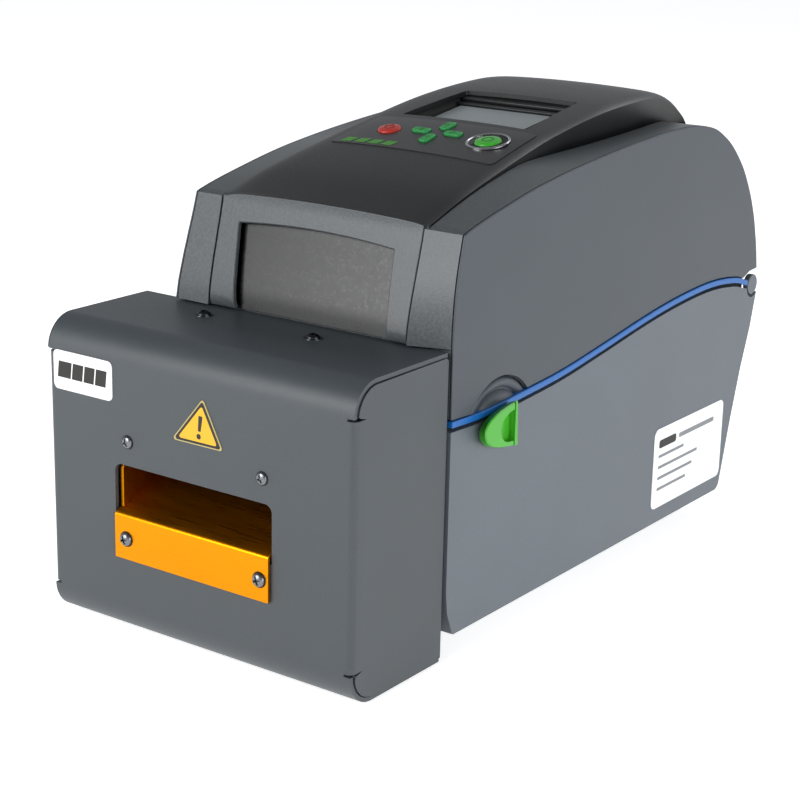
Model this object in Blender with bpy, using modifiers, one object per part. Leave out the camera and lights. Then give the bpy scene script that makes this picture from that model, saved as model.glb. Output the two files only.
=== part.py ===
"""Compact desktop label maker with a bolt-on cutter, built as separate pieces.

Lengths are in millimetres in the printer's own frame and become metres when a mesh is made.
X runs across the printer (0 on its centre plane), Y runs to the rear (0 at the printer's
front), and Z runs up from the table.  The root empty moves that frame so that the origin is
under the middle of the whole object.
"""

from math import acos, atan2, cos, pi, radians, sin, tan

import bmesh
import bpy
from mathutils import Matrix, Vector

MM = 0.001
GAP = 0.3

# printer body
HALF_WIDTH = 59.0
COVER_DRAFT = 1.2
WALL = 2.4
CASE_BOTTOM = 9.2
SEAM_POINTS = ((0, 84.8), (20, 84.2), (45, 85.7), (70, 87.6), (96, 91.0), (134, 96.4),
               (160, 99.0), (185, 99.9), (206, 98.0), (218, 94.8))
STRIP_HEIGHT = 2.3
STRIP_PROUD = 0.4
HINGE_Y, HINGE_Z = 223.0, 94.5
HINGE_NOTCH = 5.4
HINGE_BARREL = 4.6
HINGE_ROD = 1.5
BARREL_SPANS = ((-50.0, -34.0), (-20.0, 20.0), (34.0, 50.0))
KNUCKLE_SPANS = ((-33.5, -20.5), (20.5, 33.5))

# cover outline in side view: front edge, top edge and rear, as (y, z)
FRONT_EDGE = ((0.0, 88.4), (0.1, 100.0), (0.4, 115.4), (1.1, 128.7), (2.4, 138.0), (4.8, 149.0))
TOP_EDGE = ((13.2, 151.2), (25, 153.9), (37.2, 156.3), (50, 158.8), (62.5, 160.7), (76, 162.3),
            (89.5, 163.6), (104, 165.0), (118.2, 166.1), (134, 167.1), (149, 167.6),
            (165, 167.3), (174, 166.1), (182.6, 163.9))
REAR_EDGE = ((190.5, 160.0), (196, 156.6), (202, 151.6), (208, 145.4), (213.3, 138.0),
             (217.2, 131.2), (220.4, 124.0), (222.8, 116.6), (224.8, 108.9), (226.2, 101.0))
SHOULDER_POINTS = ((4.8, 150.0), (28, 156.2), (50, 160.8), (66, 163.2), (94, 163.9),
                   (122, 164.7), (152, 166.1), (168, 166.8), (180, 164.4), (190.5, 160.0))

# dark top panel
PANEL_WIDTHS = ((4.8, 44.0), (28, 43.0), (64, 41.0), (90, 40.0), (191, 40.0))
PANEL_EDGE = ((4.8, 150.6), (28, 156.6), (63, 163.8), (90, 168.0), (120, 172.3), (157, 174.8),
              (176, 171.0), (187, 164.8), (190.0, 161.5))
PANEL_CENTRE = ((4.8, 153.4), (30, 159.6), (63, 166.9), (84.6, 171.2), (127.5, 177.4),
                (150, 179.0), (165, 179.0), (175, 177.6), (184, 173.6), (190.0, 166.5))
PANEL_SHEET = 2.2
PANEL_GAP = 0.8
PANEL_CROWN = 1.2
PANEL_REAR = 190.0

# cutter module
CUT_X = (-75.8, 58.3)
CUT_FRONT, CUT_REAR = -51.9, -1.5
CUT_Z = (1.0, 111.0)
CUT_SHEET = 1.5
CUT_BEND = 11.6
SLOT_X = (-44.8, 25.0)
SLOT_Z = (44.0, 64.3)
FRONT_SCREWS = ((-38.6, 72.8), (20.9, 72.8))
CHUTE_SCREWS = ((-38.6, 38.1), (20.9, 38.1))
TOP_SCREWS = ((-35.9, -15.5), (12.7, -15.5))
SCREW_SHANK = 1.5
SCREW_HEAD = 2.75
ROTOR_Y, ROTOR_Z, ROTOR_R = -19.0, 67.5, 7.0
CUTTER_MOTOR_Z = 88.5

# platen and its drive
PLATEN_Y, PLATEN_Z, PLATEN_R = 20.0, 54.0, 8.0
PLATEN_X = (-40.5, 22.5)
SHAFT_R = 2.0
GEAR_X = (31.0, 36.0)
CUT_GEAR_X = (36.0, 41.0)
IDLER_Y, IDLER_Z = 42.1, 36.8
PINION_Y, PINION_Z = 66.0, 34.7
SIDE_PLATES = ((-45.5, -43.5), (26.0, 28.0))

# latches and keys
LATCH_Y, LATCH_Z = 27.0, 79.0
KEY_TRAVEL = 0.8
ROLL_Y, ROLL_Z = 128.0, 58.0

ORIGIN_SHIFT = Vector((5.05, -86.15, 0.0))

TO_AXIS = {
    "X": Matrix(((0, 0, 1), (1, 0, 0), (0, 1, 0))),
    "Y": Matrix(((1, 0, 0), (0, 0, -1), (0, 1, 0))),
    "Z": Matrix.Identity(3),
}

FINISHES = {
    "housing_plastic": ((0.075, 0.088, 0.098), 0.45, 0.0),
    "panel_plastic": ((0.035, 0.037, 0.042), 0.35, 0.0),
    "blue_strip": ((0.014, 0.178, 0.462), 0.35, 0.0),
    "green_plastic": ((0.109, 0.497, 0.042), 0.4, 0.0),
    "red_plastic": ((0.584, 0.067, 0.042), 0.4, 0.0),
    "painted_steel": ((0.09, 0.107, 0.117), 0.5, 0.0),
    "gold_aluminium": ((0.93, 0.44, 0.03), 0.3, 1.0),
    "steel": ((0.55, 0.56, 0.57), 0.3, 1.0),
    "black_screw": ((0.05, 0.05, 0.055), 0.35, 1.0),
    "rubber": ((0.03, 0.03, 0.03), 0.8, 0.0),
    "white_label": ((0.85, 0.86, 0.87), 0.5, 0.0),
    "yellow_label": ((0.9, 0.62, 0.06), 0.5, 0.0),
    "gear_plastic": ((0.78, 0.76, 0.7), 0.5, 0.0),
    "smoked_window": ((0.012, 0.013, 0.014), 0.15, 0.0),
    "screen_glass": ((0.29, 0.33, 0.34), 0.15, 0.0),
    "board_green": ((0.02, 0.15, 0.06), 0.5, 0.0),
    "motor_black": ((0.06, 0.06, 0.065), 0.4, 0.5),
}


# ---------------------------------------------------------------- small helpers

def ease(points, value):
    """Smooth curve through (place, height) points, read at one place."""
    if value <= points[0][0]:
        return points[0][1]
    if value >= points[-1][0]:
        return points[-1][1]
    slopes = []
    for index in range(len(points)):
        before = points[max(index - 1, 0)]
        after = points[min(index + 1, len(points) - 1)]
        slopes.append((after[1] - before[1]) / (after[0] - before[0]))
    for index in range(len(points) - 1):
        (x0, y0), (x1, y1) = points[index], points[index + 1]
        if x0 <= value <= x1:
            span = x1 - x0
            t = (value - x0) / span
            return ((2 * t ** 3 - 3 * t ** 2 + 1) * y0 + (t ** 3 - 2 * t ** 2 + t) * span * slopes[index]
                    + (3 * t ** 2 - 2 * t ** 3) * y1 + (t ** 3 - t ** 2) * span * slopes[index + 1])
    return points[-1][1]


def seam(y):
    """Height of the lower edge of the blue strip."""
    return ease(SEAM_POINTS, y)


def half_width(z):
    """Half the cover's width, which draws in slightly towards the top."""
    return HALF_WIDTH - COVER_DRAFT * max(z - 90.0, 0.0) / 78.0


def arc(centre, radius, start, end, steps):
    """Points along an arc, angles in degrees."""
    return [(centre[0] + radius * cos(radians(start + (end - start) * i / steps)),
             centre[1] + radius * sin(radians(start + (end - start) * i / steps)))
            for i in range(steps + 1)]


def fillet(corners, steps=4):
    """Outline through (u, v, radius) corners with each corner rounded."""
    outline = []
    for index, (u, v, radius) in enumerate(corners):
        here = Vector((u, v))
        before = Vector(corners[index - 1][:2]) - here
        after = Vector(corners[(index + 1) % len(corners)][:2]) - here
        if radius <= 0:
            outline.append((u, v))
            continue
        before.normalize()
        after.normalize()
        half = acos(max(-1.0, min(1.0, before.dot(after)))) / 2
        reach = radius / tan(half)
        centre = here + (before + after).normalized() * (radius / sin(half))
        first, last = here + before * reach - centre, here + after * reach - centre
        start = atan2(first.y, first.x)
        turn = (atan2(last.y, last.x) - start + pi) % (2 * pi) - pi
        outline += [(centre.x + radius * cos(start + turn * i / steps),
                     centre.y + radius * sin(start + turn * i / steps)) for i in range(steps + 1)]
    return outline


def new_object(name, mesh):
    """Object in the working collection, with its mesh in the printer's frame."""
    piece = bpy.data.objects.new(name, mesh)
    bpy.context.scene.collection.objects.link(piece)
    return piece


def from_bmesh(name, bm):
    """Mesh object from a bmesh whose coordinates are millimetres."""
    bmesh.ops.recalc_face_normals(bm, faces=bm.faces)
    bmesh.ops.scale(bm, vec=(MM, MM, MM), verts=bm.verts)
    mesh = bpy.data.meshes.new(name)
    bm.to_mesh(mesh)
    bm.free()
    return new_object(name, mesh)


def freeze(piece):
    """Apply every modifier and the object's own placing to its mesh."""
    bpy.context.view_layer.update()
    graph = bpy.context.evaluated_depsgraph_get()
    mesh = bpy.data.meshes.new_from_object(piece.evaluated_get(graph))
    mesh.transform(piece.matrix_world)
    name = piece.name
    bpy.data.objects.remove(piece)
    mesh.name = name
    return new_object(name, mesh)


def slab(name, outline, axis, low, high, holes=()):
    """Flat outline, with holes, given a thickness along one axis."""
    curve = bpy.data.curves.new(name, "CURVE")
    curve.dimensions = "2D"
    curve.fill_mode = "BOTH"
    curve.extrude = (high - low) / 2 * MM
    for loop in (outline, *holes):
        spline = curve.splines.new("POLY")
        spline.points.add(len(loop) - 1)
        for point, (u, v) in zip(spline.points, loop):
            point.co = (u * MM, v * MM, 0.0, 1.0)
        spline.use_cyclic_u = True
    piece = new_object(name, curve)
    middle = (low + high) / 2 * MM
    offset = Vector((0, 0, -middle if axis == "Y" else middle))
    piece.matrix_world = (TO_AXIS[axis].to_4x4()) @ Matrix.Translation(offset)
    piece = freeze(piece)
    bm = bmesh.new()
    bm.from_mesh(piece.data)
    bmesh.ops.remove_doubles(bm, verts=bm.verts, dist=1e-6)
    bmesh.ops.recalc_face_normals(bm, faces=bm.faces)
    bm.to_mesh(piece.data)
    bm.free()
    bpy.data.curves.remove(curve)
    return piece


def block(name, x, y, z, bevel=0.0):
    """Box between pairs of limits, with optional rounded edges."""
    bm = bmesh.new()
    bmesh.ops.create_cube(bm, size=1.0)
    bmesh.ops.scale(bm, vec=(x[1] - x[0], y[1] - y[0], z[1] - z[0]), verts=bm.verts)
    bmesh.ops.translate(bm, vec=(sum(x) / 2, sum(y) / 2, sum(z) / 2), verts=bm.verts)
    if bevel:
        bmesh.ops.bevel(bm, geom=bm.edges[:], offset=bevel, segments=1, profile=0.5,
                        affect="EDGES", material=-1)
    return from_bmesh(name, bm)


def rod(name, axis, centre, radius, low, high, sides=24):
    """Round bar along an axis; centre is its place in the other two axes."""
    bm = bmesh.new()
    bmesh.ops.create_cone(bm, cap_ends=True, segments=sides, radius1=radius, radius2=radius,
                          depth=high - low)
    middle = (low + high) / 2
    local = Vector((centre[0], centre[1], -middle if axis == "Y" else middle))
    bmesh.ops.translate(bm, vec=local, verts=bm.verts)
    bmesh.ops.transform(bm, matrix=TO_AXIS[axis].to_4x4(), verts=bm.verts)
    return from_bmesh(name, bm)


def turned(name, profile, matrix, steps=24):
    """Solid of revolution from (radius, height) points running top to bottom."""
    mesh = bpy.data.meshes.new(name)
    bm = bmesh.new()
    verts = [bm.verts.new((radius * MM, 0, height * MM)) for radius, height in profile]
    for first, second in zip(verts, verts[1:]):
        bm.edges.new((first, second))
    bm.to_mesh(mesh)
    bm.free()
    piece = new_object(name, mesh)
    screw = piece.modifiers.new("Screw", "SCREW")
    screw.steps = screw.render_steps = steps
    screw.use_merge_vertices = True
    screw.merge_threshold = 1e-5
    screw.use_smooth_shade = True
    piece.matrix_world = matrix
    return freeze(piece)


def combine(piece, others, operation):
    """Boolean with each of the other solids, which are used up."""
    for other in others:
        step = piece.modifiers.new("Step", "BOOLEAN")
        step.operation = operation
        step.solver = "EXACT"
        step.object = other
        piece = freeze(piece)
        bpy.data.objects.remove(other)
    return piece


def cut(piece, *others):
    """Take the other solids away."""
    return combine(piece, others, "DIFFERENCE")


def join(piece, *others):
    """Add the other solids."""
    return combine(piece, others, "UNION")


def along(axis, place):
    """Matrix that puts a turned piece's own Z along an axis at a place in millimetres."""
    turns = {"X": Matrix.Rotation(radians(90), 4, "Y"), "-X": Matrix.Rotation(radians(-90), 4, "Y"),
             "-Y": Matrix.Rotation(radians(90), 4, "X"), "Z": Matrix.Identity(4)}
    return Matrix.Translation(Vector(place) * MM) @ turns[axis]


class Body:
    """Pieces that move as one, under an empty on the joint's axis."""

    def __init__(self, name, pivot=(0, 0, 0), parent=None):
        self.pivot = Vector(pivot)
        self.empty = bpy.data.objects.new(name + "_axis", None)
        self.empty.empty_display_size = 0.01
        COLLECTION.objects.link(self.empty)
        start = parent.pivot if parent else Vector((0, 0, 0))
        self.empty.location = (self.pivot - start + (Vector() if parent else ORIGIN_SHIFT)) * MM
        self.empty.parent = parent.empty if parent else None

    def add(self, piece, finish, name=None):
        """Give a piece its name, finish and place under this body's empty."""
        if name:
            piece.name = name
        piece.data.name = piece.name
        piece.data.transform(Matrix.Translation(-self.pivot * MM))
        piece.data.materials.clear()
        piece.data.materials.append(material(finish))
        piece.data.shade_smooth()
        piece.data.set_sharp_from_angle(angle=radians(35))
        bpy.context.scene.collection.objects.unlink(piece)
        COLLECTION.objects.link(piece)
        piece.parent = self.empty
        return piece


def material(name):
    """Principled material for one finish, made once."""
    found = bpy.data.materials.get(name)
    if found:
        return found
    colour, roughness, metallic = FINISHES[name]
    made = bpy.data.materials.new(name)
    made.use_nodes = True
    shader = made.node_tree.nodes["Principled BSDF"]
    shader.inputs["Base Color"].default_value = (*colour, 1.0)
    shader.inputs["Roughness"].default_value = roughness
    shader.inputs["Metallic"].default_value = metallic
    return made


def gear(name, teeth, centre, x, bore, phase=0.0):
    """Module 1 spur gear with straight-flanked teeth, on an X axis."""
    pitch = teeth / 2
    outline = []
    for tooth in range(teeth):
        middle = 2 * pi * (tooth + phase) / teeth
        for radius, half in ((pitch - 1.2, 0.42), (pitch + 0.85, 0.15)):
            sides = (-1, 1) if radius > pitch else (-1,)
            for side in sides:
                angle = middle + side * half * 2 * pi / teeth * (0.94 if radius > pitch else 0.84)
                outline.append((centre[0] + radius * cos(angle), centre[1] + radius * sin(angle)))
        angle = middle + 0.42 * 0.84 * 2 * pi / teeth
        outline.append((centre[0] + (pitch - 1.2) * cos(angle),
                        centre[1] + (pitch - 1.2) * sin(angle)))
    return slab(name, outline, "X", x[0], x[1], holes=[arc(centre, bore, 0, -345, 23)])


# ---------------------------------------------------------------- printer base

def seam_line(offset, start=0.0, end=217.6, steps=36):
    """Points along the seam, moved up by an offset."""
    return [(start + (end - start) * i / steps, seam(start + (end - start) * i / steps) + offset)
            for i in range(steps + 1)]


def case_outline(inset):
    """Side view of the lower case, moved inwards by an inset."""
    low, front = CASE_BOTTOM + inset, inset
    rear = ((203.3 - inset, low, 4), (210.6 - inset, 37.7, 20), (217.2 - inset, 60.0, 20),
            (223.2 - inset, 76.0, 20))
    top = [(227.2 - inset, 92.0, 0)]
    body = fillet([(front, 70, 0), (front, low, 3), *rear, *top])
    return body


def lower_case():
    """Open-topped moulded tub with hinge barrels and port openings."""
    roof = [(y, z) for y, z in reversed(seam_line(-0.8))]
    shell = slab("lower_case", case_outline(0) + [(226.9, 94.2), (218.2, 93.6)] + roof[1:],
                 "X", -HALF_WIDTH, HALF_WIDTH)
    inner = case_outline(WALL)[1:] + [(224.8, 120), (WALL, 120)]
    shell = cut(shell, slab("well", inner, "X", WALL - HALF_WIDTH, HALF_WIDTH - WALL))
    shell = cut(shell,
                rod("notch", "X", (HINGE_Y, HINGE_Z), HINGE_NOTCH, -70, 70, 32),
                block("exit", (-43.5, 25.0), (-5, 10), (50, 100)),
                block("inlet", (28.0, 42.0), (195, 230), (24.0, 35.0)),
                block("socket", (-6.0, 8.0), (195, 230), (24.0, 36.0)))
    for side in (-1, 1):
        shell = cut(shell, rod("axle_hole", "X", (LATCH_Y, LATCH_Z), 3.4,
                               min(50 * side, 70 * side), max(50 * side, 70 * side), 24))
    for low, high in BARREL_SPANS:
        barrel = rod("barrel", "X", (HINGE_Y, HINGE_Z), HINGE_BARREL, low, high, 24)
        web = slab("web", [(219.0, 94.5), (219.0, 78.0), (223.4, 82.0), (226.6, 90.8), (225.6, 94.5)],
                   "X", low, high)
        barrel = join(barrel, web)
        shell = join(shell, barrel)
    return cut(shell, rod("bore", "X", (HINGE_Y, HINGE_Z), HINGE_ROD + GAP, -70, 70, 20))


def seam_strip(side):
    """Coloured strip that lies on the side wall's top edge."""
    lower = seam_line(0.0)
    upper = [(y, z + STRIP_HEIGHT) for y, z in reversed(lower)]
    inner, outer = HALF_WIDTH - 2.0, HALF_WIDTH + STRIP_PROUD
    limits = sorted((inner * side, outer * side))
    return slab("seam_strip", lower + upper, "X", *limits)


def chassis_frame():
    """Folded steel base plate with two uprights for the printing parts."""
    frame = block("chassis_frame", (-50, 50), (8, 196), (13.0, 14.5))
    cheek = fillet([(8, 13.2, 0), (62, 13.2, 0), (62, 50, 6), (40, 66, 6), (8, 66, 4)])
    bores = [arc((PLATEN_Y, PLATEN_Z), 4.8, 0, -345, 23)]
    for low, high in SIDE_PLATES:
        frame = join(frame, slab("cheek", cheek, "X", low, high, holes=bores))
    frame = join(frame, rod("idler_pin", "X", (IDLER_Y, IDLER_Z), 1.7, 27.0, 36.6, 16))
    return frame


def bush(x):
    """Flanged plain bearing for the platen shaft."""
    profile = [(SHAFT_R + GAP, 2.9), (4.5, 2.9), (4.5, 0.0), (6.0, 0.0), (6.0, -1.2),
               (SHAFT_R + GAP, -1.2), (SHAFT_R + GAP, 2.9)]
    side = "X" if x < 0 else "-X"
    edge = SIDE_PLATES[0][0] - GAP if x < 0 else SIDE_PLATES[1][1] + GAP
    return turned("bush", profile, along(side, (edge, PLATEN_Y, PLATEN_Z)), 20)


def media_tray():
    """Moulded bay that the roll holders slide in."""
    tray = slab("media_tray", fillet([(84, 16, 0), (190, 16, 0), (190, 22, 0), (178, 22, 0),
                                      (165, 19, 10), (96, 19, 10), (90, 44, 0), (84, 44, 0)]),
                "X", -49, 49)
    return cut(tray, block("track", (-44, 44), (ROLL_Y - 5.4, ROLL_Y + 5.4), (17.4, 30)))


def roll_holder(side):
    """Sliding cheek with a cone that grips one end of the label roll."""
    outline = fillet([(ROLL_Y - 5, 17.8, 1), (ROLL_Y + 5, 17.8, 1), (ROLL_Y + 14, 45, 10),
                      (ROLL_Y + 14, 74, 10), (ROLL_Y - 14, 74, 10), (ROLL_Y - 14, 45, 10)])
    limits = sorted((34.0 * side, 37.0 * side))
    cheek = slab("roll_holder", outline, "X", *limits)
    cone = [(0, 8.0), (8.0, 8.0), (11.5, 0.0), (0, 0.0)]
    facing = "-X" if side > 0 else "X"
    hub = turned("hub", cone, along(facing, (34.5 * side, ROLL_Y, ROLL_Z)), 20)
    return join(cheek, hub)


def drive_motor():
    """Stepper motor with a bore for the pinion's shaft."""
    can = rod("drive_motor", "X", (PINION_Y, PINION_Z), 17.0, 37.0, 54.0, 32)
    foot = block("foot", (38, 52), (PINION_Y - 14, PINION_Y + 14), (14.9, 24))
    return cut(join(can, foot), rod("bore", "X", (PINION_Y, PINION_Z), 1.7, 30, 45, 16))


def power_inlet():
    """Low-voltage socket at the rear, with a round well."""
    body = block("power_inlet", (28.6, 41.4), (188, 207.0), (24.6, 34.4), 0.4)
    return cut(body, rod("well", "Y", (35.0, 29.5), 3.8, 196.0, 215.0, 20))


def usb_port():
    """Square data socket at the rear, with a rectangular well."""
    body = block("usb_port", (-5.2, 7.2), (190, 207.0), (24.6, 35.4), 0.3)
    return cut(body, block("well", (-3.4, 5.4), (196, 215), (26.2, 33.8)))


def foot(x, y):
    """Round rubber foot."""
    profile = [(0, CASE_BOTTOM - GAP), (6.0, CASE_BOTTOM - GAP), (7.5, 1.0), (6.6, 0), (0, 0)]
    return turned("foot", profile, along("Z", (x, y, 0)), 20)


# ---------------------------------------------------------------- cutter module

def cutter_cover():
    """Folded sheet box with round front bends, a label slot and screw holes."""
    def profile(inset, rear):
        radius = CUT_BEND - inset
        return fillet([(CUT_FRONT + inset, CUT_Z[0] + inset, radius), (rear, CUT_Z[0] + inset, 0),
                       (rear, CUT_Z[1] - inset, 0), (CUT_FRONT + inset, CUT_Z[1] - inset, radius)], 8)

    cover = slab("cutter_cover", profile(0, CUT_REAR), "X", *CUT_X)
    cover = cut(cover, slab("well", profile(CUT_SHEET, 10), "X",
                            CUT_X[0] + CUT_SHEET, CUT_X[1] - CUT_SHEET))
    slot = fillet([(SLOT_X[0], SLOT_Z[0], 1), (SLOT_X[1], SLOT_Z[0], 1),
                   (SLOT_X[1], SLOT_Z[1], 3), (SLOT_X[0], SLOT_Z[1], 3)], 4)
    cover = cut(cover, slab("slot", slot, "Y", CUT_FRONT - 5, CUT_FRONT + 5))
    for place in FRONT_SCREWS + CHUTE_SCREWS:
        cover = cut(cover, rod("hole", "Y", place, SCREW_SHANK + GAP, CUT_FRONT - 5, CUT_FRONT + 5, 12))
    for place in TOP_SCREWS:
        cover = cut(cover, rod("hole", "Z", place, SCREW_SHANK + GAP, 100, 120, 12))
    return cover


def cutter_bracket():
    """Mounting plate with two cheeks and two tie bars that carry the cutter."""
    window = fillet([(-46, 48, 2), (27, 48, 2), (27, 74, 2), (-46, 74, 2)], 3)
    bracket = slab("cutter_bracket", fillet([(-68, 6, 3), (35, 6, 3), (35, 105, 3), (-68, 105, 3)], 3),
                   "Y", -4.0, -2.2, holes=[window])
    bore = [arc((ROTOR_Y, ROTOR_Z), 3.3, 0, -345, 23), arc((ROTOR_Y, CUTTER_MOTOR_Z), 3.3, 0, -345, 23)]
    cheek = fillet([(-46, 20, 3), (-3.5, 20, 0), (-3.5, 104, 0), (-30, 104, 3), (-46, 78, 3)], 3)
    for low, high in ((-49.0, -47.0), (32.0, 34.0)):
        bracket = join(bracket, slab("cheek", cheek, "X", low, high, holes=bore))
    tie = block("tie", (-48.5, 33.5), (-22, -9), (103.2, 106.0))
    for x, y in TOP_SCREWS:
        tie = cut(tie, rod("hole", "Z", (x, y), SCREW_SHANK + GAP, 95, 115, 12))
    bar = block("bar", (-48.5, 33.5), (-48.2, -45.2), (69, 77))
    for x, z in FRONT_SCREWS:
        bar = cut(bar, rod("hole", "Y", (x, z), SCREW_SHANK + GAP, -60, -40, 12))
    return join(bracket, tie, bar)


def cutter_chute():
    """Folded anodised sheet: outside flange, lip and ramp with two side cheeks."""
    sheet = 1.2
    face = CUT_FRONT - GAP
    rise = atan2(58.5 - 46.8, 25.0)
    ramp_end = (-27.0, 58.5)
    under = (ramp_end[0] + sheet * sin(rise), ramp_end[1] - sheet * cos(rise))
    outline = fillet([(face - sheet, 30.5, 0), (face, 30.5, 0), (face, 45.4, 0.5), under + (0,),
                      ramp_end + (0,), (face - sheet, 46.8, 1.4)], 4)
    chute = slab("cutter_chute", outline, "X", -44.0, 24.6)
    for low, high in ((-44.0, -42.8), (23.4, 24.6)):
        cheek = slab("cheek", [(-49.6, 47.2), (-27.2, 57.6), (-27.2, 66.0), (-49.6, 66.0)],
                     "X", low, high)
        chute = join(chute, cheek)
    for x, z in CHUTE_SCREWS:
        chute = cut(chute, rod("hole", "Y", (x, z), SCREW_SHANK + GAP, face - 5, face + 5, 12))
    return chute


def screw(name, axis, place):
    """Pan-head machine screw whose head rests on the place given."""
    profile = [(0, 1.9)] + [(SCREW_HEAD * sin(radians(a)), 0.5 + 1.4 * cos(radians(a)))
                            for a in (30, 60, 90)]
    profile += [(SCREW_HEAD, GAP), (SCREW_SHANK, GAP), (SCREW_SHANK, -5.5), (0, -5.5)]
    return turned(name, profile, along(axis, place), 16)


def rotary_blade():
    """Shaft with a flat and a spiral cutting edge, here a relieved cylinder."""
    blade = rod("rotary_blade", "X", (ROTOR_Y, ROTOR_Z), ROTOR_R, -41.0, 22.0, 32)
    blade = cut(blade, block("relief", (-38, 19), (-30, -10), (ROTOR_Z + 2.5, ROTOR_Z + 12)))
    return join(blade, rod("shaft", "X", (ROTOR_Y, ROTOR_Z), 2.9, -50.5, 41.5, 20))


# ---------------------------------------------------------------- cover

def arch_recess(side):
    """Backing disc and its well, above each latch, as two solids."""
    outer = arc((30.0, 71.3), 27.0, 41.5, 138.5, 20)
    inner = arc((30.0, 71.3), 24.5, 0.0, 180.0, 28)
    disc = slab("disc", outer, "X", *sorted((53.4 * side, 58.8 * side)))
    well = slab("well", inner, "X", *sorted((55.6 * side, 70.0 * side)))
    return disc, well


def cover_shell():
    """Hinged cover: sides, front strips, sloping shoulders and the rear wall."""
    top = TOP_EDGE
    path = list(FRONT_EDGE) + list(top) + list(REAR_EDGE)
    bm = bmesh.new()
    outer, inner, middle = [], [], []
    for y, z in path:
        outer.append(bm.verts.new((half_width(z), y, z)))
        if (y, z) in FRONT_EDGE:
            inner.append(bm.verts.new((44.0 + PANEL_GAP, y, z + (1.0 if z > 145 else 0.0))))
            middle.append(None)
        elif (y, z) in top:
            inner.append(bm.verts.new((ease(PANEL_WIDTHS, y) + PANEL_GAP, y, ease(SHOULDER_POINTS, y))))
            middle.append(None)
        else:
            inner.append(bm.verts.new((40.0 + PANEL_GAP, y, z)))
            middle.append(bm.verts.new((0.0, y, z)))
    for i in range(len(path) - 1):
        bm.faces.new((outer[i], outer[i + 1], inner[i + 1], inner[i]))
        if middle[i] and middle[i + 1]:
            bm.faces.new((inner[i], inner[i + 1], middle[i + 1], middle[i]))
    rim = [bm.verts.new((HALF_WIDTH, y, z)) for y, z in
           reversed(seam_line(STRIP_HEIGHT + GAP, 3.0, 214.0, 30))]
    foot_rear = bm.verts.new((HALF_WIDTH, 219.5, 101.0))
    bm.faces.new(outer + [foot_rear] + rim)
    bmesh.ops.recalc_face_normals(bm, faces=bm.faces)
    bm.faces.ensure_lookup_table()
    side_face = max(bm.faces, key=lambda face: len(face.verts))
    if side_face.normal.x < 0:
        bmesh.ops.reverse_faces(bm, faces=bm.faces)
    bmesh.ops.scale(bm, vec=(MM, MM, MM), verts=bm.verts)
    mesh = bpy.data.meshes.new("cover_shell")
    bm.to_mesh(mesh)
    bm.free()
    shell = new_object("cover_shell", mesh)
    mirror = shell.modifiers.new("Mirror", "MIRROR")
    mirror.merge_threshold = 1e-5
    wall = shell.modifiers.new("Wall", "SOLIDIFY")
    wall.thickness = WALL * MM
    wall.offset = -1.0
    wall.use_even_offset = True
    shell = freeze(shell)
    for side in (-1, 1):
        disc, well = arch_recess(side)
        shell = cut(join(shell, disc), well)
    for low, high in KNUCKLE_SPANS:
        knuckle = rod("knuckle", "X", (HINGE_Y, HINGE_Z), HINGE_BARREL, low, high, 24)
        web = slab("web", [(219.4, 96.0), (225.6, 96.0), (225.9, 101.5), (224.6, 108.0), (221.6, 108.0)],
                   "X", low, high)
        shell = join(shell, join(knuckle, web))
    return cut(shell, rod("bore", "X", (HINGE_Y, HINGE_Z), HINGE_ROD + GAP, -70, 70, 20))


def front_height(x):
    """Crowned top edge of the front frame."""
    return 146.6 + 2.8 * (1 - (x / 44.0) ** 2)


def front_face(x, z):
    """Front frame's surface: it follows the cover's front edge with a slight bulge."""
    edge = ease(tuple((zz, yy) for yy, zz in FRONT_EDGE), z)
    return edge + 0.1


def grid_sheet(name, surface, across, down, thickness):
    """Sheet over a grid of points, thickened inwards."""
    bm = bmesh.new()
    rows = [[bm.verts.new(Vector(surface(u / across, v / down)) * MM) for u in range(across + 1)]
            for v in range(down + 1)]
    for v in range(down):
        for u in range(across):
            bm.faces.new((rows[v][u], rows[v][u + 1], rows[v + 1][u + 1], rows[v + 1][u]))
    mesh = bpy.data.meshes.new(name)
    bm.to_mesh(mesh)
    bm.free()
    piece = new_object(name, mesh)
    wall = piece.modifiers.new("Wall", "SOLIDIFY")
    wall.thickness = thickness * MM
    wall.offset = -1.0
    wall.use_even_offset = True
    return freeze(piece)


def front_frame():
    """Grey frame around the viewing window, crowned along its top edge."""
    def surface(u, v):
        x = -44.0 + 88.0 * u
        z = 88.6 + (front_height(x) - 88.6) * v
        return x, front_face(x, z), z

    frame = grid_sheet("front_frame", surface, 12, 10, 2.4)
    opening = fillet([(-37.0, 96, 2), (31.0, 96, 2), (31.0, 140.6, 1), (-3.0, 141.6, 60),
                      (-37.0, 140.6, 1)], 4)
    return cut(frame, slab("opening", opening, "Y", -5, 12))


def window_pane():
    """Smoked pane clipped behind the frame."""
    def surface(u, v):
        x = -41.0 + 76.0 * u
        z = 92.5 + 52.5 * v
        return x, front_face(x, z) + 3.0, z

    return grid_sheet("window_pane", surface, 6, 8, 1.6)


def panel_height(x, y):
    """Top panel's surface height, with its crown and rounded long edges."""
    centre, edge = ease(PANEL_CENTRE, y), ease(PANEL_EDGE, y)
    share = min(abs(x) / ease(PANEL_WIDTHS, y), 1.0)
    return centre - PANEL_CROWN * share ** 2 - (centre - edge - PANEL_CROWN) * share ** 8


def panel_skirt(y):
    """Height of the foot of the panel's side skirt, which enters the cover's opening."""
    rise = max((y - 176.0) / (PANEL_REAR - 176.0), 0.0)
    return min(ease(SHOULDER_POINTS, y) - 3.0, ease(PANEL_EDGE, y) - 3.2) + 4.2 * rise


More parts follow.
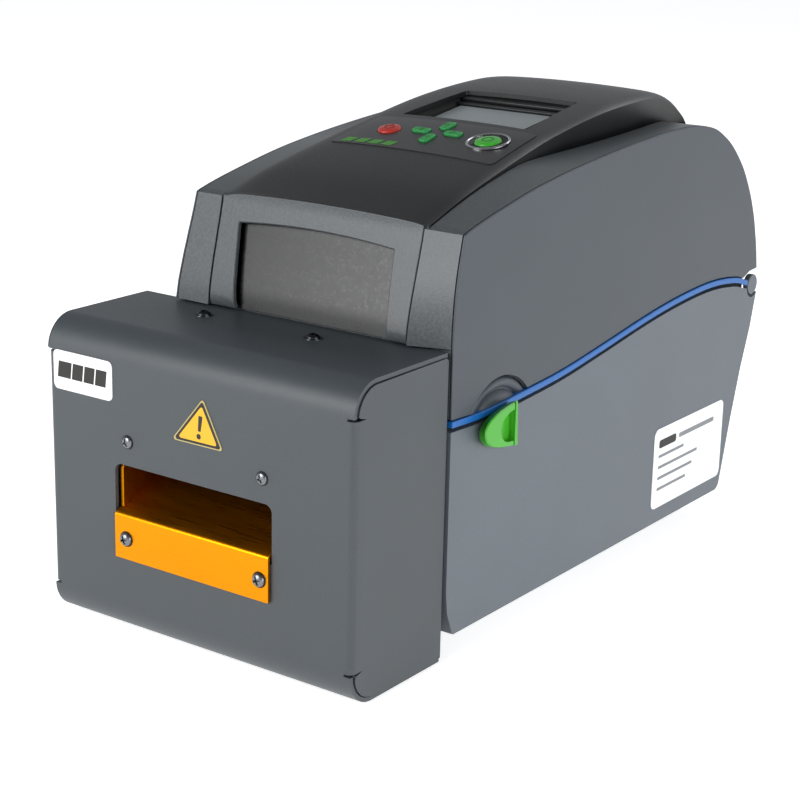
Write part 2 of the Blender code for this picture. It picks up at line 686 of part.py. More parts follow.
def tilted(piece, x, y, lift=0.0):
    """Put a piece made about the origin square on the panel at a place."""
    slope = (ease(PANEL_CENTRE, y + 3) - ease(PANEL_CENTRE, y - 3)) / 6.0
    turn = Matrix.Rotation(atan2(slope, 1.0), 4, "X")
    spot = Vector((x, y, panel_height(x, y) + lift)) * MM
    piece.data.transform(Matrix.Translation(spot) @ turn)
    return piece


def panel_rows():
    """Places along the panel where its grid has a row."""
    return [4.8 + 185.2 * (i / 26) for i in range(27)]


def top_panel():
    """Dark hood panel with side skirts, a closed rear end and openings for display and keys."""
    rows = panel_rows()
    shares = (-1.0, -0.985, -0.95, -0.88, -0.75, -0.5, -0.25, 0.0, 0.25, 0.5, 0.75, 0.88, 0.95,
              0.985, 1.0)
    bm = bmesh.new()
    lines = []
    for y in rows:
        width, foot_z = ease(PANEL_WIDTHS, y), panel_skirt(y)
        line = [(-width, y, foot_z)] + [(s * width, y, panel_height(s * width, y)) for s in shares]
        lines.append([bm.verts.new(Vector(p) * MM) for p in line + [(width, y, foot_z)]])
    rear = lines[-1]
    end = [bm.verts.new((v.co.x, (PANEL_REAR + 0.4) * MM, min(v.co.z, 161.0 * MM))) for v in rear]
    lines.append(end)
    for low, high in zip(lines, lines[1:]):
        for i in range(len(low) - 1):
            bm.faces.new((low[i], low[i + 1], high[i + 1], high[i]))
    bmesh.ops.remove_doubles(bm, verts=bm.verts, dist=1e-5)
    mesh = bpy.data.meshes.new("top_panel")
    bm.to_mesh(mesh)
    bm.free()
    panel = new_object("top_panel", mesh)
    wall = panel.modifiers.new("Wall", "SOLIDIFY")
    wall.thickness = PANEL_SHEET * MM
    wall.offset = -1.0
    wall.use_even_offset = True
    panel = freeze(panel)
    bay = fillet([(-27.4, 88.5, 1), (27.4, 88.5, 1), (24.2, 127.5, 1.5), (-24.2, 127.5, 1.5)], 3)
    panel = cut(panel, slab("bay", bay, "Z", 150, 190))
    for place in KEYS.values():
        x, y, size = place["x"], place["y"], place["size"]
        panel = cut(panel, tilted(key_solid("hole", size, -8, 8, GAP + 0.05), x, y))
    return panel


def key_solid(name, size, low, high, grow=0.0):
    """Round or oblong key about the origin; size is a diameter or a width and depth."""
    if isinstance(size, tuple):
        half_w, half_d = size[0] / 2 + grow, size[1] / 2 + grow
        outline = fillet([(-half_w, -half_d, 1.2), (half_w, -half_d, 1.2), (half_w, half_d, 1.2),
                          (-half_w, half_d, 1.2)], 2)
    else:
        outline = arc((0, 0), size / 2 + grow, 0, 345, 23)
    return slab(name, outline, "Z", low, high)


KEYS = {
    "power_button": {"x": -19.2, "y": 69.4, "size": 8.8, "finish": "red_plastic"},
    "feed_button": {"x": 24.0, "y": 70.0, "size": 10.0, "finish": "green_plastic"},
    "up_key": {"x": 0.9, "y": 78.3, "size": (3.8, 7.2), "finish": "green_plastic"},
    "down_key": {"x": 1.1, "y": 64.8, "size": (3.8, 7.2), "finish": "green_plastic"},
    "left_key": {"x": -6.0, "y": 71.3, "size": (7.2, 3.8), "finish": "green_plastic"},
    "right_key": {"x": 7.7, "y": 71.8, "size": (7.2, 3.8), "finish": "green_plastic"},
}


def ribbon_frame():
    """Two plates and a bridge inside the cover that carry the ribbon spools and print head."""
    outline = fillet([(34, 72, 3), (70, 72, 3), (112, 104, 6), (112, 138, 6), (36, 138, 6)], 3)
    bores = [arc((95, 120), 3.4, 0, -345, 23), arc((48, 118), 3.4, 0, -345, 23),
             arc((60, 82), 2.4, 0, -345, 23)]
    frame = block("ribbon_frame", (-47, 29), (66, 78), (134.0, 136.5))
    for low, high in ((-47.0, -45.0), (27.0, 29.0)):
        frame = join(frame, slab("plate", outline, "X", low, high, holes=bores))
    return frame


def ribbon_spool(name, y, z, radius):
    """Ribbon core with end flanges and journals."""
    half = 35.5
    profile = [(0, half + 2.6), (3.0, half + 2.6), (3.0, half), (radius + 3, half),
               (radius + 3, half - 1.6), (radius, half - 1.6), (radius, -half + 1.6),
               (radius + 3, -half + 1.6), (radius + 3, -half), (3.0, -half),
               (3.0, -half - 2.6), (0, -half - 2.6)]
    return turned(name, profile, along("X", (-9.0, y, z)), 20)


def printhead():
    """Thermal head on a swinging arm, pressed down on the platen."""
    head = block("printhead", (-40, 22), (13, 27), (62.6, 67.5), 0.5)
    arm = slab("arm", [(20, 66), (26, 66), (60, 77), (63, 82), (60, 86), (54, 84), (20, 70)],
               "X", -38, 20)
    pin = rod("pin", "X", (60, 82), 2.0, -47.0, 29.0, 16)
    return join(head, arm, pin)


def latch_lever(side):
    """Green finger lever with a crescent scoop, an axle and an inner cam."""
    face = HALF_WIDTH + 0.8
    outline = fillet([(33.8, 88.0, 1.2), (23.5, 87.2, 6), (13.0, 82.6, 5), (15.2, 74.6, 6),
                      (25.0, 71.4, 8), (34.2, 71.3, 1.2)], 4)
    lever = slab("lever", outline, "X", *sorted((face * side, (face + 5.9) * side)))
    scoop = fillet([(32.0, 85.2, 0.6), (26.4, 84.6, 4), (22.0, 79.6, 5), (26.2, 74.0, 4),
                    (32.0, 73.6, 0.6)], 4)
    lever = cut(lever, slab("scoop", scoop, "X", *sorted(((face + 1.6) * side, (face + 9) * side))))
    axle = rod("axle", "X", (LATCH_Y, LATCH_Z), 3.0, *sorted((54.0 * side, (face + 0.5) * side)), 20)
    cam = rod("cam", "X", (LATCH_Y, LATCH_Z), 5.5, *sorted((53.0 * side, 56.0 * side)), 20)
    return join(lever, axle, cam)


# ---------------------------------------------------------------- assembly

def build_base(base):
    """Every fixed piece of the printer."""
    base.add(lower_case(), "housing_plastic")
    for side, word in ((1, "right"), (-1, "left")):
        base.add(seam_strip(side), "blue_strip", "seam_strip_" + word)
        base.add(foot(34 * side, 18), "rubber", "foot_front_" + word)
        base.add(foot(34 * side, 186), "rubber", "foot_rear_" + word)
    base.add(rod("hinge_rod", "X", (HINGE_Y, HINGE_Z), HINGE_ROD, -52, 52, 16), "steel")
    base.add(chassis_frame(), "steel")
    base.add(media_tray(), "panel_plastic")
    base.add(block("main_board", (-42, -6), (20, 78), (19.0, 20.6)), "board_green")
    base.add(drive_motor(), "motor_black")
    base.add(power_inlet(), "panel_plastic")
    base.add(usb_port(), "steel")
    base.add(bush(-1), "gear_plastic", "platen_bush_left")
    base.add(bush(1), "gear_plastic", "platen_bush_right")


def build_labels(base):
    """Thin stickers: blank badge, plain warning triangle and blank service label."""
    low, high = CUT_FRONT - 0.45, CUT_FRONT - 0.15
    badge = fillet([(-72.9, 86, 2), (-45.2, 86, 2), (-45.2, 100, 2), (-72.9, 100, 2)], 4)
    base.add(slab("badge_label", badge, "Y", low, high), "white_label")
    triangle = fillet([(-18.0, 78.4, 0.8), (4.4, 78.5, 0.8), (-4.2, 94.9, 0.8)], 3)
    base.add(slab("hazard_label", triangle, "Y", low, high), "yellow_label")
    side = fillet([(144, 15.5, 3), (203, 15.5, 3), (203, 49, 3), (144, 49, 3)], 4)
    base.add(slab("service_label", side, "X", HALF_WIDTH + 0.15, HALF_WIDTH + 0.45), "white_label")


def build_cutter(base):
    """The bolt-on cutter's fixed pieces."""
    base.add(cutter_cover(), "painted_steel")
    base.add(cutter_bracket(), "steel")
    base.add(cutter_chute(), "gold_aluminium")
    base.add(block("fixed_blade", (-46.5, 31.5), (-22, -5), (57.6, 60.0)), "steel")
    motor = rod("cutter_motor", "X", (ROTOR_Y, CUTTER_MOTOR_Z), 12.5, -4.0, 31.5, 28)
    motor = cut(motor, rod("bore", "X", (ROTOR_Y, CUTTER_MOTOR_Z), 1.7, 22, 40, 16))
    base.add(motor, "motor_black")
    for word, (x, z) in zip(("left", "right"), FRONT_SCREWS):
        base.add(screw("front_screw_" + word, "-Y", (x, CUT_FRONT, z)), "black_screw")
    for word, (x, z) in zip(("left", "right"), CHUTE_SCREWS):
        base.add(screw("chute_screw_" + word, "-Y", (x, CUT_FRONT - GAP - 1.2, z)), "black_screw")
    for word, (x, y) in zip(("left", "right"), TOP_SCREWS):
        base.add(screw("top_screw_" + word, "Z", (x, y, CUT_Z[1])), "black_screw")


def build_drives(base):
    """Platen, its gears and the rotary cutter, each turning on its own axis."""
    platen = Body("platen", (0, PLATEN_Y, PLATEN_Z), base)
    profile = [(SHAFT_R + GAP, 31.5), (PLATEN_R, 31.5), (PLATEN_R, -31.5), (SHAFT_R + GAP, -31.5),
               (SHAFT_R + GAP, 31.5)]
    platen.add(turned("platen_roller", profile, along("X", (-9, PLATEN_Y, PLATEN_Z)), 28), "rubber")
    platen.add(rod("platen_shaft", "X", (PLATEN_Y, PLATEN_Z), SHAFT_R, -49.0, 36.6, 20), "steel")
    platen.add(gear("platen_gear", 20, (PLATEN_Y, PLATEN_Z), GEAR_X, SHAFT_R + GAP), "gear_plastic")
    idler = Body("idler", (0, IDLER_Y, IDLER_Z), base)
    idler.add(gear("idler_gear", 36, (IDLER_Y, IDLER_Z), GEAR_X, 2.0, PHASES["idler"]),
              "gear_plastic")
    pinion = Body("pinion", (0, PINION_Y, PINION_Z), base)
    teeth = gear("motor_pinion", 12, (PINION_Y, PINION_Z), GEAR_X, 1.2, PHASES["pinion"])
    teeth = join(teeth, rod("stub", "X", (PINION_Y, PINION_Z), 1.35, GEAR_X[0], 43.0, 16))
    pinion.add(teeth, "gear_plastic")
    rotor = Body("rotor", (0, ROTOR_Y, ROTOR_Z), base)
    rotor.add(rotary_blade(), "steel")
    rotor.add(gear("blade_gear", 30, (ROTOR_Y, ROTOR_Z), CUT_GEAR_X, 3.2), "gear_plastic")
    driver = Body("cutter_drive", (0, ROTOR_Y, CUTTER_MOTOR_Z), base)
    small = gear("cutter_pinion", 12, (ROTOR_Y, CUTTER_MOTOR_Z), CUT_GEAR_X, 1.2, PHASES["cutter"])
    small = join(small, rod("stub", "X", (ROTOR_Y, CUTTER_MOTOR_Z), 1.35, 25.0, CUT_GEAR_X[1], 16))
    driver.add(small, "gear_plastic")


def mesh_phase(teeth, centre, other_teeth, other, other_phase=0.0):
    """Tooth offset that puts a gap of one gear opposite a tooth of the other."""
    facing = atan2(centre[1] - other[1], centre[0] - other[0])
    other_part = (facing * other_teeth / (2 * pi) - other_phase) % 1.0
    back = facing + pi
    return (back * teeth / (2 * pi) + other_part - 0.5) % 1.0


PHASES = {"idler": mesh_phase(36, (IDLER_Y, IDLER_Z), 20, (PLATEN_Y, PLATEN_Z))}
PHASES["pinion"] = mesh_phase(12, (PINION_Y, PINION_Z), 36, (IDLER_Y, IDLER_Z), PHASES["idler"])
PHASES["cutter"] = mesh_phase(12, (ROTOR_Y, CUTTER_MOTOR_Z), 30, (ROTOR_Y, ROTOR_Z))


def build_cover(base):
    """The hinged cover with everything it carries."""
    cover = Body("cover", (0, HINGE_Y, HINGE_Z), base)
    cover.add(cover_shell(), "housing_plastic")
    cover.add(front_frame(), "housing_plastic")
    cover.add(window_pane(), "smoked_window")
    cover.add(top_panel(), "panel_plastic")
    bezel = block("display_bezel", (-31, 31), (-23, 23), (-7.4, -5.9))
    cover.add(tilted(bezel, 0, 108), "panel_plastic")
    screen = block("display_screen", (-20.5, 20.5), (-10.2, 9.2), (-5.6, -4.6))
    cover.add(tilted(screen, 0, 108), "screen_glass")
    ring = slab("feed_button_ring", arc((0, 0), 8.2, 0, 348, 29), "Z", 0.25, 0.85,
                holes=[arc((0, 0), 7.2, 0, -348, 29)])
    cover.add(tilted(ring, 24.0, 70.0), "steel")
    cover.add(ribbon_frame(), "steel")
    for name, key in KEYS.items():
        body = Body(name, (key["x"], key["y"], panel_height(key["x"], key["y"])), cover)
        solid = key_solid(name, key["size"], -4.4, 1.3)
        body.add(tilted(solid, key["x"], key["y"]), key["finish"])
    supply = Body("supply_spool", (0, 95, 120), cover)
    supply.add(ribbon_spool("ribbon_supply_spool", 95, 120, 13), "gear_plastic")
    takeup = Body("takeup_spool", (0, 48, 118), cover)
    takeup.add(ribbon_spool("ribbon_takeup_spool", 48, 118, 9), "gear_plastic")
    head = Body("head", (0, 60, 82), cover)
    head.add(printhead(), "steel")


def main():
    """Clear the scene and build the whole object."""
    base = Body("label_maker")
    build_base(base)
    build_labels(base)
    build_cutter(base)
    build_drives(base)
    build_cover(base)
    for side, word in ((1, "right"), (-1, "left")):
        latch = Body("latch_" + word, (0, LATCH_Y, LATCH_Z), base)
        latch.add(latch_lever(side), "green_plastic", "latch_lever_" + word)
        holder = Body("holder_" + word, (0, 0, 0), base)
        holder.add(roll_holder(side), "green_plastic", "roll_holder_" + word)


for old in list(bpy.data.objects):
    bpy.data.objects.remove(old)
COLLECTION = bpy.data.collections.new("label_maker")
bpy.context.scene.collection.children.link(COLLECTION)
main()
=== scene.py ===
"""Looks of the compact desktop label maker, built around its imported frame.

Each sub-assembly is a class with its sizes in millimetres, in the printer's own frame: X across
(0 on the centre plane), Y to the rear (0 at the printer's front) and Z up from the table.
"""

import logging
from dataclasses import dataclass, field
from enum import Enum
from math import acos, atan2, cos, pi, radians, sin, tan
from typing import Optional, Sequence, Union

import bmesh
import bpy
from mathutils import Matrix, Vector


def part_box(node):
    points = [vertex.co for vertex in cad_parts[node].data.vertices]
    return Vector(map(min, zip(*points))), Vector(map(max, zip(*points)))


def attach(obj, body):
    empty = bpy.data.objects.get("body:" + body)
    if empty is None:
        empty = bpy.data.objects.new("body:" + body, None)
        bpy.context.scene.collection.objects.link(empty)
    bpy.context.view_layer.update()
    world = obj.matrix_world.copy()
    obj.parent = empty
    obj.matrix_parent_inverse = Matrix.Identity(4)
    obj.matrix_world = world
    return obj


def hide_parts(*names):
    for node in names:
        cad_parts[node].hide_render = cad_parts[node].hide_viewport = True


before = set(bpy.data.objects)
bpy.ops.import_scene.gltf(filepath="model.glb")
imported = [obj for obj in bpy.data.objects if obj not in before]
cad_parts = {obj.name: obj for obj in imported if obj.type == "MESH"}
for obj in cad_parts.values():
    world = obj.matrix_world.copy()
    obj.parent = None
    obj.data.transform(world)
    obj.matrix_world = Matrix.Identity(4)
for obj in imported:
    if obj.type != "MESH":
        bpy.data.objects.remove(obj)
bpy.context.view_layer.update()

logging.basicConfig(level=logging.INFO, format="%(message)s")
LOG = logging.getLogger("label_maker")

MM = 0.001
Point = tuple[float, float]
CASE_LOW, CASE_HIGH = (Vector(corner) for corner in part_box("lower_case"))
ORIGIN = Vector(((CASE_LOW.x + CASE_HIGH.x) / 2, CASE_LOW.y, 0.0))


class Axis(Enum):
    """Axis that a flat outline is given its thickness along."""

    X = Matrix(((0, 0, 1), (1, 0, 0), (0, 1, 0)))
    Y = Matrix(((1, 0, 0), (0, 0, -1), (0, 1, 0)))
    Z = Matrix.Identity(3)


# ---------------------------------------------------------------- finishes

def linear(code: str) -> tuple[float, float, float, float]:
    """Turn an sRGB hex code into a linear colour.

    Args:
        code: Six hex digits.

    Returns:
        Linear red, green, blue and an alpha of 1.
    """
    parts = [int(code[i:i + 2], 16) / 255 for i in (0, 2, 4)]
    curve = [p / 12.92 if p <= 0.04045 else ((p + 0.055) / 1.055) ** 2.4 for p in parts]
    return (*curve, 1.0)


def add(tree: bpy.types.NodeTree, kind: str, inputs: Optional[dict] = None,
        **settings: object) -> bpy.types.Node:
    """Add a node with its settings, values and links.

    Args:
        tree: Node tree to add to.
        kind: Node type.
        inputs: Socket name or index to a value or to a socket that feeds it.
        settings: Attributes of the node.

    Returns:
        The new node.
    """
    made = tree.nodes.new(kind)
    for key, value in settings.items():
        setattr(made, key, value)
    for key, value in (inputs or {}).items():
        if isinstance(value, bpy.types.NodeSocket):
            tree.links.new(value, made.inputs[key])
        else:
            made.inputs[key].default_value = value
    return made


@dataclass(frozen=True)
class Finish:
    """A surface finish with a fine relief and slow changes of tone.

    grain is the relief's size in millimetres, relief its strength, and drift how far the tone
    wanders over some centimetres.
    """

    name: str
    colour: str
    roughness: float
    metallic: float = 0.0
    grain: float = 0.8
    relief: float = 0.1
    drift: float = 0.08
    speckle: float = 0.0
    coat: float = 0.0
    ior: Optional[float] = None

    def material(self) -> bpy.types.Material:
        """Make the material once and return it."""
        found = bpy.data.materials.get(self.name)
        if found:
            return found
        made = bpy.data.materials.new(self.name)
        made.use_nodes = True
        tree = made.node_tree
        tree.nodes.clear()
        place = add(tree, "ShaderNodeTexCoord").outputs["Object"]
        fine = add(tree, "ShaderNodeTexNoise", {"Vector": place, "Scale": 1.0 / (self.grain * MM),
                                                "Detail": 2.0, "Roughness": 0.6})
        slow = add(tree, "ShaderNodeTexNoise", {"Vector": place, "Scale": 28.0, "Detail": 3.0})
        base = linear(self.colour)
        dark = (*(c * (1 - self.drift) for c in base[:3]), 1.0)
        light = (*(min(c * (1 + self.drift), 1.0) for c in base[:3]), 1.0)
        tone = add(tree, "ShaderNodeMix", {0: slow.outputs["Fac"], 6: dark, 7: light},
                   data_type="RGBA")
        colour = tone.outputs[2]
        if self.speckle:
            dots = add(tree, "ShaderNodeMapRange", {"Value": fine.outputs["Fac"], 1: 0.42, 2: 0.62,
                                                    3: 1.0 - self.speckle, 4: 1.0 + self.speckle})
            colour = add(tree, "ShaderNodeVectorMath", {0: colour, "Scale": dots.outputs[0]},
                         operation="SCALE").outputs[0]
        rough = add(tree, "ShaderNodeMapRange", {"Value": fine.outputs["Fac"], 1: 0.3, 2: 0.7,
                                                 3: self.roughness - 0.04,
                                                 4: self.roughness + 0.05})
        bump = add(tree, "ShaderNodeBump", {"Height": fine.outputs["Fac"],
                                            "Strength": self.relief, "Distance": 0.00012})
        shader = add(tree, "ShaderNodeBsdfPrincipled",
                     {"Base Color": colour, "Roughness": rough.outputs[0],
                      "Normal": bump.outputs[0], "Metallic": self.metallic,
                      "Coat Weight": self.coat, "Coat Roughness": 0.12})
        if self.ior and not self.metallic:
            shader.inputs["IOR"].default_value = self.ior
        add(tree, "ShaderNodeOutputMaterial", {"Surface": shader.outputs[0]})
        return made


@dataclass(frozen=True)
class BrushedFinish:
    """Drawn or rolled metal: fine lines run along X."""

    name: str
    colour: str
    roughness: float
    line: float = 0.5
    relief: float = 0.12

    def material(self) -> bpy.types.Material:
        """Make the material once and return it."""
        found = bpy.data.materials.get(self.name)
        if found:
            return found
        made = bpy.data.materials.new(self.name)
        made.use_nodes = True
        tree = made.node_tree
        tree.nodes.clear()
        place = add(tree, "ShaderNodeTexCoord").outputs["Object"]
        drawn = add(tree, "ShaderNodeMapping", {"Vector": place, "Scale": (0.03, 1.0, 1.0)})
        lines = add(tree, "ShaderNodeTexNoise", {"Vector": drawn.outputs[0],
                                                 "Scale": 1.0 / (self.line * MM), "Detail": 2.0})
        slow = add(tree, "ShaderNodeTexNoise", {"Vector": place, "Scale": 40.0, "Detail": 2.0})
        base = linear(self.colour)
        tone = add(tree, "ShaderNodeMix", {0: slow.outputs["Fac"],
                                           6: (*(c * 0.93 for c in base[:3]), 1.0), 7: base},
                   data_type="RGBA")
        rough = add(tree, "ShaderNodeMapRange", {"Value": lines.outputs["Fac"], 1: 0.3, 2: 0.7,
                                                 3: self.roughness - 0.06,
                                                 4: self.roughness + 0.06})
        bump = add(tree, "ShaderNodeBump", {"Height": lines.outputs["Fac"],
                                            "Strength": self.relief, "Distance": 0.00005})
        shader = add(tree, "ShaderNodeBsdfPrincipled",
                     {"Base Color": tone.outputs[2], "Roughness": rough.outputs[0],
                      "Normal": bump.outputs[0], "Metallic": 1.0})
        add(tree, "ShaderNodeOutputMaterial", {"Surface": shader.outputs[0]})
        return made


AnyFinish = Union[Finish, BrushedFinish]

# ABS with a spark-eroded mould texture: satin, with a soft broad highlight
COVER_ABS = Finish("cover_abs_satin", "3c434a", 0.42, grain=0.7, relief=0.22, speckle=0.05, ior=1.5)
# coloured lighter than COVER_ABS: partly the case's own grey-blue, partly painted light for the bounce
# from the white table onto the lower case
CASE_ABS = Finish("case_abs_satin", "5c636a", 0.46, grain=0.7, relief=0.22, speckle=0.05, ior=1.5)
# the same ABS with a coarser texture, which glitters a little
FRAME_ABS = Finish("frame_abs_coarse", "484d50", 0.38, grain=0.9, relief=0.5, speckle=0.16, ior=1.5)
PANEL_ABS = Finish("panel_abs_dark", "161719", 0.4, grain=0.6, relief=0.1, speckle=0.03, ior=1.5)
KEYPAD_FILM = Finish("keypad_polyester", "1f1d21", 0.32, grain=0.6, relief=0.06, ior=1.55)
# near-black for gaps, recesses, creases and the inside of the chute: painted shade
SHADOW_ABS = Finish("painted_shade_black", "060607", 0.7, grain=0.8, relief=0.15)
BLUE_ABS = Finish("blue_abs", "0d5da6", 0.38, grain=0.6, relief=0.08, ior=1.5)
GREEN_ABS = Finish("green_abs", "3da51c", 0.34, grain=0.6, relief=0.1, coat=0.15, ior=1.5)
KEY_GREEN = Finish("key_silicone_green", "258c45", 0.42, grain=0.5, relief=0.1, ior=1.45)
FEED_GREEN = Finish("feed_silicone_green", "3aa82a", 0.35, grain=0.5, relief=0.1, coat=0.2, ior=1.45)
KEY_RED = Finish("key_silicone_red", "b02a20", 0.38, grain=0.5, relief=0.1, coat=0.2, ior=1.45)
PRINT_RED = Finish("key_print_red", "8a1d16", 0.5, grain=0.5, relief=0.05)
PRINT_GREEN = Finish("key_print_green", "1c7a2c", 0.5, grain=0.5, relief=0.05)
MARK_GREEN = Finish("panel_print_green", "3f8a2c", 0.5, grain=0.5, relief=0.05)
# powder coat: orange-peel relief about a millimetre across, satin
POWDER_GREY = Finish("powder_coat_grey", "3f4549", 0.44, grain=1.0, relief=0.28, speckle=0.04,
                     drift=0.05, ior=1.5)
# near-black for the strip along the cutter's left top edge: painted shade on the side plate's edge
EDGE_SHADE = Finish("painted_edge_shade", "121416", 0.6, grain=0.8, relief=0.1)
# anodised and dyed aluminium sheet: the dye tints the metal's own shine
GOLD_ANODISED = BrushedFinish("gold_anodised_aluminium", "e8920c", 0.32, line=0.6, relief=0.08)
ZINC_STEEL = BrushedFinish("zinc_plated_steel", "b3b6b9", 0.34)
GROUND_STEEL = BrushedFinish("ground_tool_steel", "c3c6c9", 0.2, line=0.3)
SILVER_RING = BrushedFinish("satin_chrome_ring", "b9bbbd", 0.25, line=0.3, relief=0.05)
BLACK_ZINC = Finish("black_zinc_screw", "3b3d40", 0.3, metallic=1.0, grain=0.5, relief=0.1)
GREY_ZINC = Finish("grey_zinc_screw", "7e8184", 0.28, metallic=1.0, grain=0.5, relief=0.1)
# near-black ring round the front and chute screw heads: painted shade of the recess they sit in
RECESS_SHADE = Finish("screw_recess_shade", "050505", 0.6, grain=0.5, relief=0.1)
RUBBER = Finish("moulded_rubber", "1b1b1c", 0.85, grain=0.6, relief=0.3)
PLATEN_RUBBER = Finish("platen_silicone", "26282b", 0.7, grain=0.5, relief=0.2)
WHITE_FILM = Finish("label_film_white", "f1f2f3", 0.45, grain=0.8, relief=0.04, drift=0.01)
YELLOW_FILM = Finish("label_film_yellow", "e8ae12", 0.45, grain=0.8, relief=0.04, drift=0.02)
EDGE_FILM = Finish("label_film_edge", "b9a86a", 0.5, grain=0.8, relief=0.04, drift=0.02)
PRINT_BLACK = Finish("label_print_black", "15130f", 0.5, grain=0.8, relief=0.04)
PRINT_GREY = Finish("label_print_grey", "7d8185", 0.5, grain=0.8, relief=0.04)
ACETAL = Finish("natural_acetal", "ddd9cf", 0.4, grain=0.8, relief=0.08, ior=1.48)
SMOKED = Finish("smoked_acrylic", "020203", 0.3, grain=1.2, relief=0.02, ior=1.49)
SCREEN = Finish("display_grey", "7c8486", 0.22, grain=1.0, relief=0.02, drift=0.03, ior=1.5)
BOARD = Finish("solder_mask_green", "0f4a26", 0.4, grain=0.8, relief=0.1, ior=1.55)
CHIP = Finish("chip_epoxy", "18191b", 0.55, grain=0.5, relief=0.15)
MOTOR = Finish("motor_enamel", "202225", 0.38, grain=0.7, relief=0.12)


# ---------------------------------------------------------------- shape helpers

def ease(points: Sequence[Point], value: float) -> float:
    """Read a smooth curve through (place, height) points at one place.

    Args:
        points: Places in rising order, each with its height.
        value: Where to read.

    Returns:
        The height there.
    """
    if value <= points[0][0]:
        return points[0][1]
    if value >= points[-1][0]:
        return points[-1][1]
    slopes = []
    for index in range(len(points)):
        before, after = points[max(index - 1, 0)], points[min(index + 1, len(points) - 1)]
        slopes.append((after[1] - before[1]) / (after[0] - before[0]))
    index = max(i for i in range(len(points) - 1) if points[i][0] <= value)
    (x0, y0), (x1, y1) = points[index], points[index + 1]
    span = x1 - x0
    t = (value - x0) / span
    return ((2 * t ** 3 - 3 * t ** 2 + 1) * y0 + (t ** 3 - 2 * t ** 2 + t) * span * slopes[index]
            + (3 * t ** 2 - 2 * t ** 3) * y1 + (t ** 3 - t ** 2) * span * slopes[index + 1])


def spline(points: Sequence[Point], steps: int) -> list[Point]:
    """Smooth path through points, with some steps between each two.

    Args:
        points: Points on the path.
        steps: Steps from one point to the next.

    Returns:
        The finer path, both ends included.
    """
    path = []
    for i in range(len(points) - 1):
        a, b = Vector(points[max(i - 1, 0)]), Vector(points[i])
        c, d = Vector(points[i + 1]), Vector(points[min(i + 2, len(points) - 1)])
        for k in range(steps):
            t = k / steps
            spot = 0.5 * (2 * b + (c - a) * t + (2 * a - 5 * b + 4 * c - d) * t ** 2
                          + (3 * b - a - 3 * c + d) * t ** 3)
            path.append((spot.x, spot.y))
    return path + [tuple(points[-1])]


def arc(centre: Point, radius: float, start: float, end: float, steps: int) -> list[Point]:
    """Points along an arc, with its angles in degrees."""
    turns = [radians(start + (end - start) * i / steps) for i in range(steps + 1)]
    return [(centre[0] + radius * cos(t), centre[1] + radius * sin(t)) for t in turns]


def fillet(corners: Sequence[tuple[float, float, float]], steps: int = 6) -> list[Point]:
    """Outline through (u, v, radius) corners with each corner rounded.

    Args:
        corners: Corners in order, each with its radius.
        steps: Steps round each corner.

    Returns:
        The outline's points.
    """
    outline: list[Point] = []
    for index, (u, v, radius) in enumerate(corners):
        here = Vector((u, v))
        if radius <= 0:
            outline.append((u, v))
            continue
        before = (Vector(corners[index - 1][:2]) - here).normalized()
        after = (Vector(corners[(index + 1) % len(corners)][:2]) - here).normalized()
        half = acos(max(-1.0, min(1.0, before.dot(after)))) / 2
        reach = radius / tan(half)
        centre = here + (before + after).normalized() * (radius / sin(half))
        first, last = here + before * reach - centre, here + after * reach - centre
        start = atan2(first.y, first.x)
        turn = (atan2(last.y, last.x) - start + pi) % (2 * pi) - pi
        outline += [(centre.x + radius * cos(start + turn * i / steps),
                     centre.y + radius * sin(start + turn * i / steps)) for i in range(steps + 1)]
    return outline


def rounded_box(x: Point, y: Point, radius: float, steps: int = 6) -> list[Point]:
    """Rectangle between pairs of limits with round corners."""
    return fillet([(x[0], y[0], radius), (x[1], y[0], radius), (x[1], y[1], radius),
                   (x[0], y[1], radius)], steps)


def prism(outline: Sequence[Point], axis: Axis, low: float, high: float) -> bmesh.types.BMesh:
    """Extrude a flat outline along an axis.

    Args:
        outline: Points in the plane across the axis.
        axis: Axis of the thickness.
        low: Start along the axis.
        high: End along the axis.

    Returns:
        A closed bmesh in millimetres.
    """
    bm = bmesh.new()
    sign = -1 if axis is Axis.Y else 1
    face = bm.faces.new([bm.verts.new(axis.value @ Vector((u, v, sign * low)))
                         for u, v in outline])
    grown = bmesh.ops.extrude_face_region(bm, geom=[face])
    moved = [v for v in grown["geom"] if isinstance(v, bmesh.types.BMVert)]
    bmesh.ops.translate(bm, vec=axis.value @ Vector((0, 0, sign * (high - low))), verts=moved)
    bmesh.ops.recalc_face_normals(bm, faces=bm.faces)
    return bm


def cuboid(x: Point, y: Point, z: Point, soft: float = 0.0) -> bmesh.types.BMesh:
    """Box between pairs of limits, with its edges rounded by a radius."""
    bm = bmesh.new()
    bmesh.ops.create_cube(bm, size=1.0)
    bmesh.ops.scale(bm, vec=(x[1] - x[0], y[1] - y[0], z[1] - z[0]), verts=bm.verts)
    bmesh.ops.translate(bm, vec=(sum(x) / 2, sum(y) / 2, sum(z) / 2), verts=bm.verts)
    if soft:
        bmesh.ops.bevel(bm, geom=bm.edges[:], offset=soft, segments=3, profile=0.5,
                        affect="EDGES", material=-1)
    return bm


def turned(profile: Sequence[Point], steps: int = 48) -> bmesh.types.BMesh:
    """Spin a (radius, height) profile about Z into a closed shape."""
    bm = bmesh.new()
    verts = [bm.verts.new((radius, 0.0, height)) for radius, height in profile]
    edges = [bm.edges.new(pair) for pair in zip(verts, verts[1:])]
    bmesh.ops.spin(bm, geom=verts + edges, cent=(0, 0, 0), axis=(0, 0, 1), angle=2 * pi,
                   steps=steps, use_merge=True)
    bmesh.ops.remove_doubles(bm, verts=bm.verts, dist=1e-4)
    bmesh.ops.recalc_face_normals(bm, faces=bm.faces)
    return bm


def placed(bm: bmesh.types.BMesh, matrix: Matrix) -> bmesh.types.BMesh:
    """Move a bmesh by a matrix and give it back."""
    bmesh.ops.transform(bm, matrix=matrix, verts=bm.verts)
    return bm


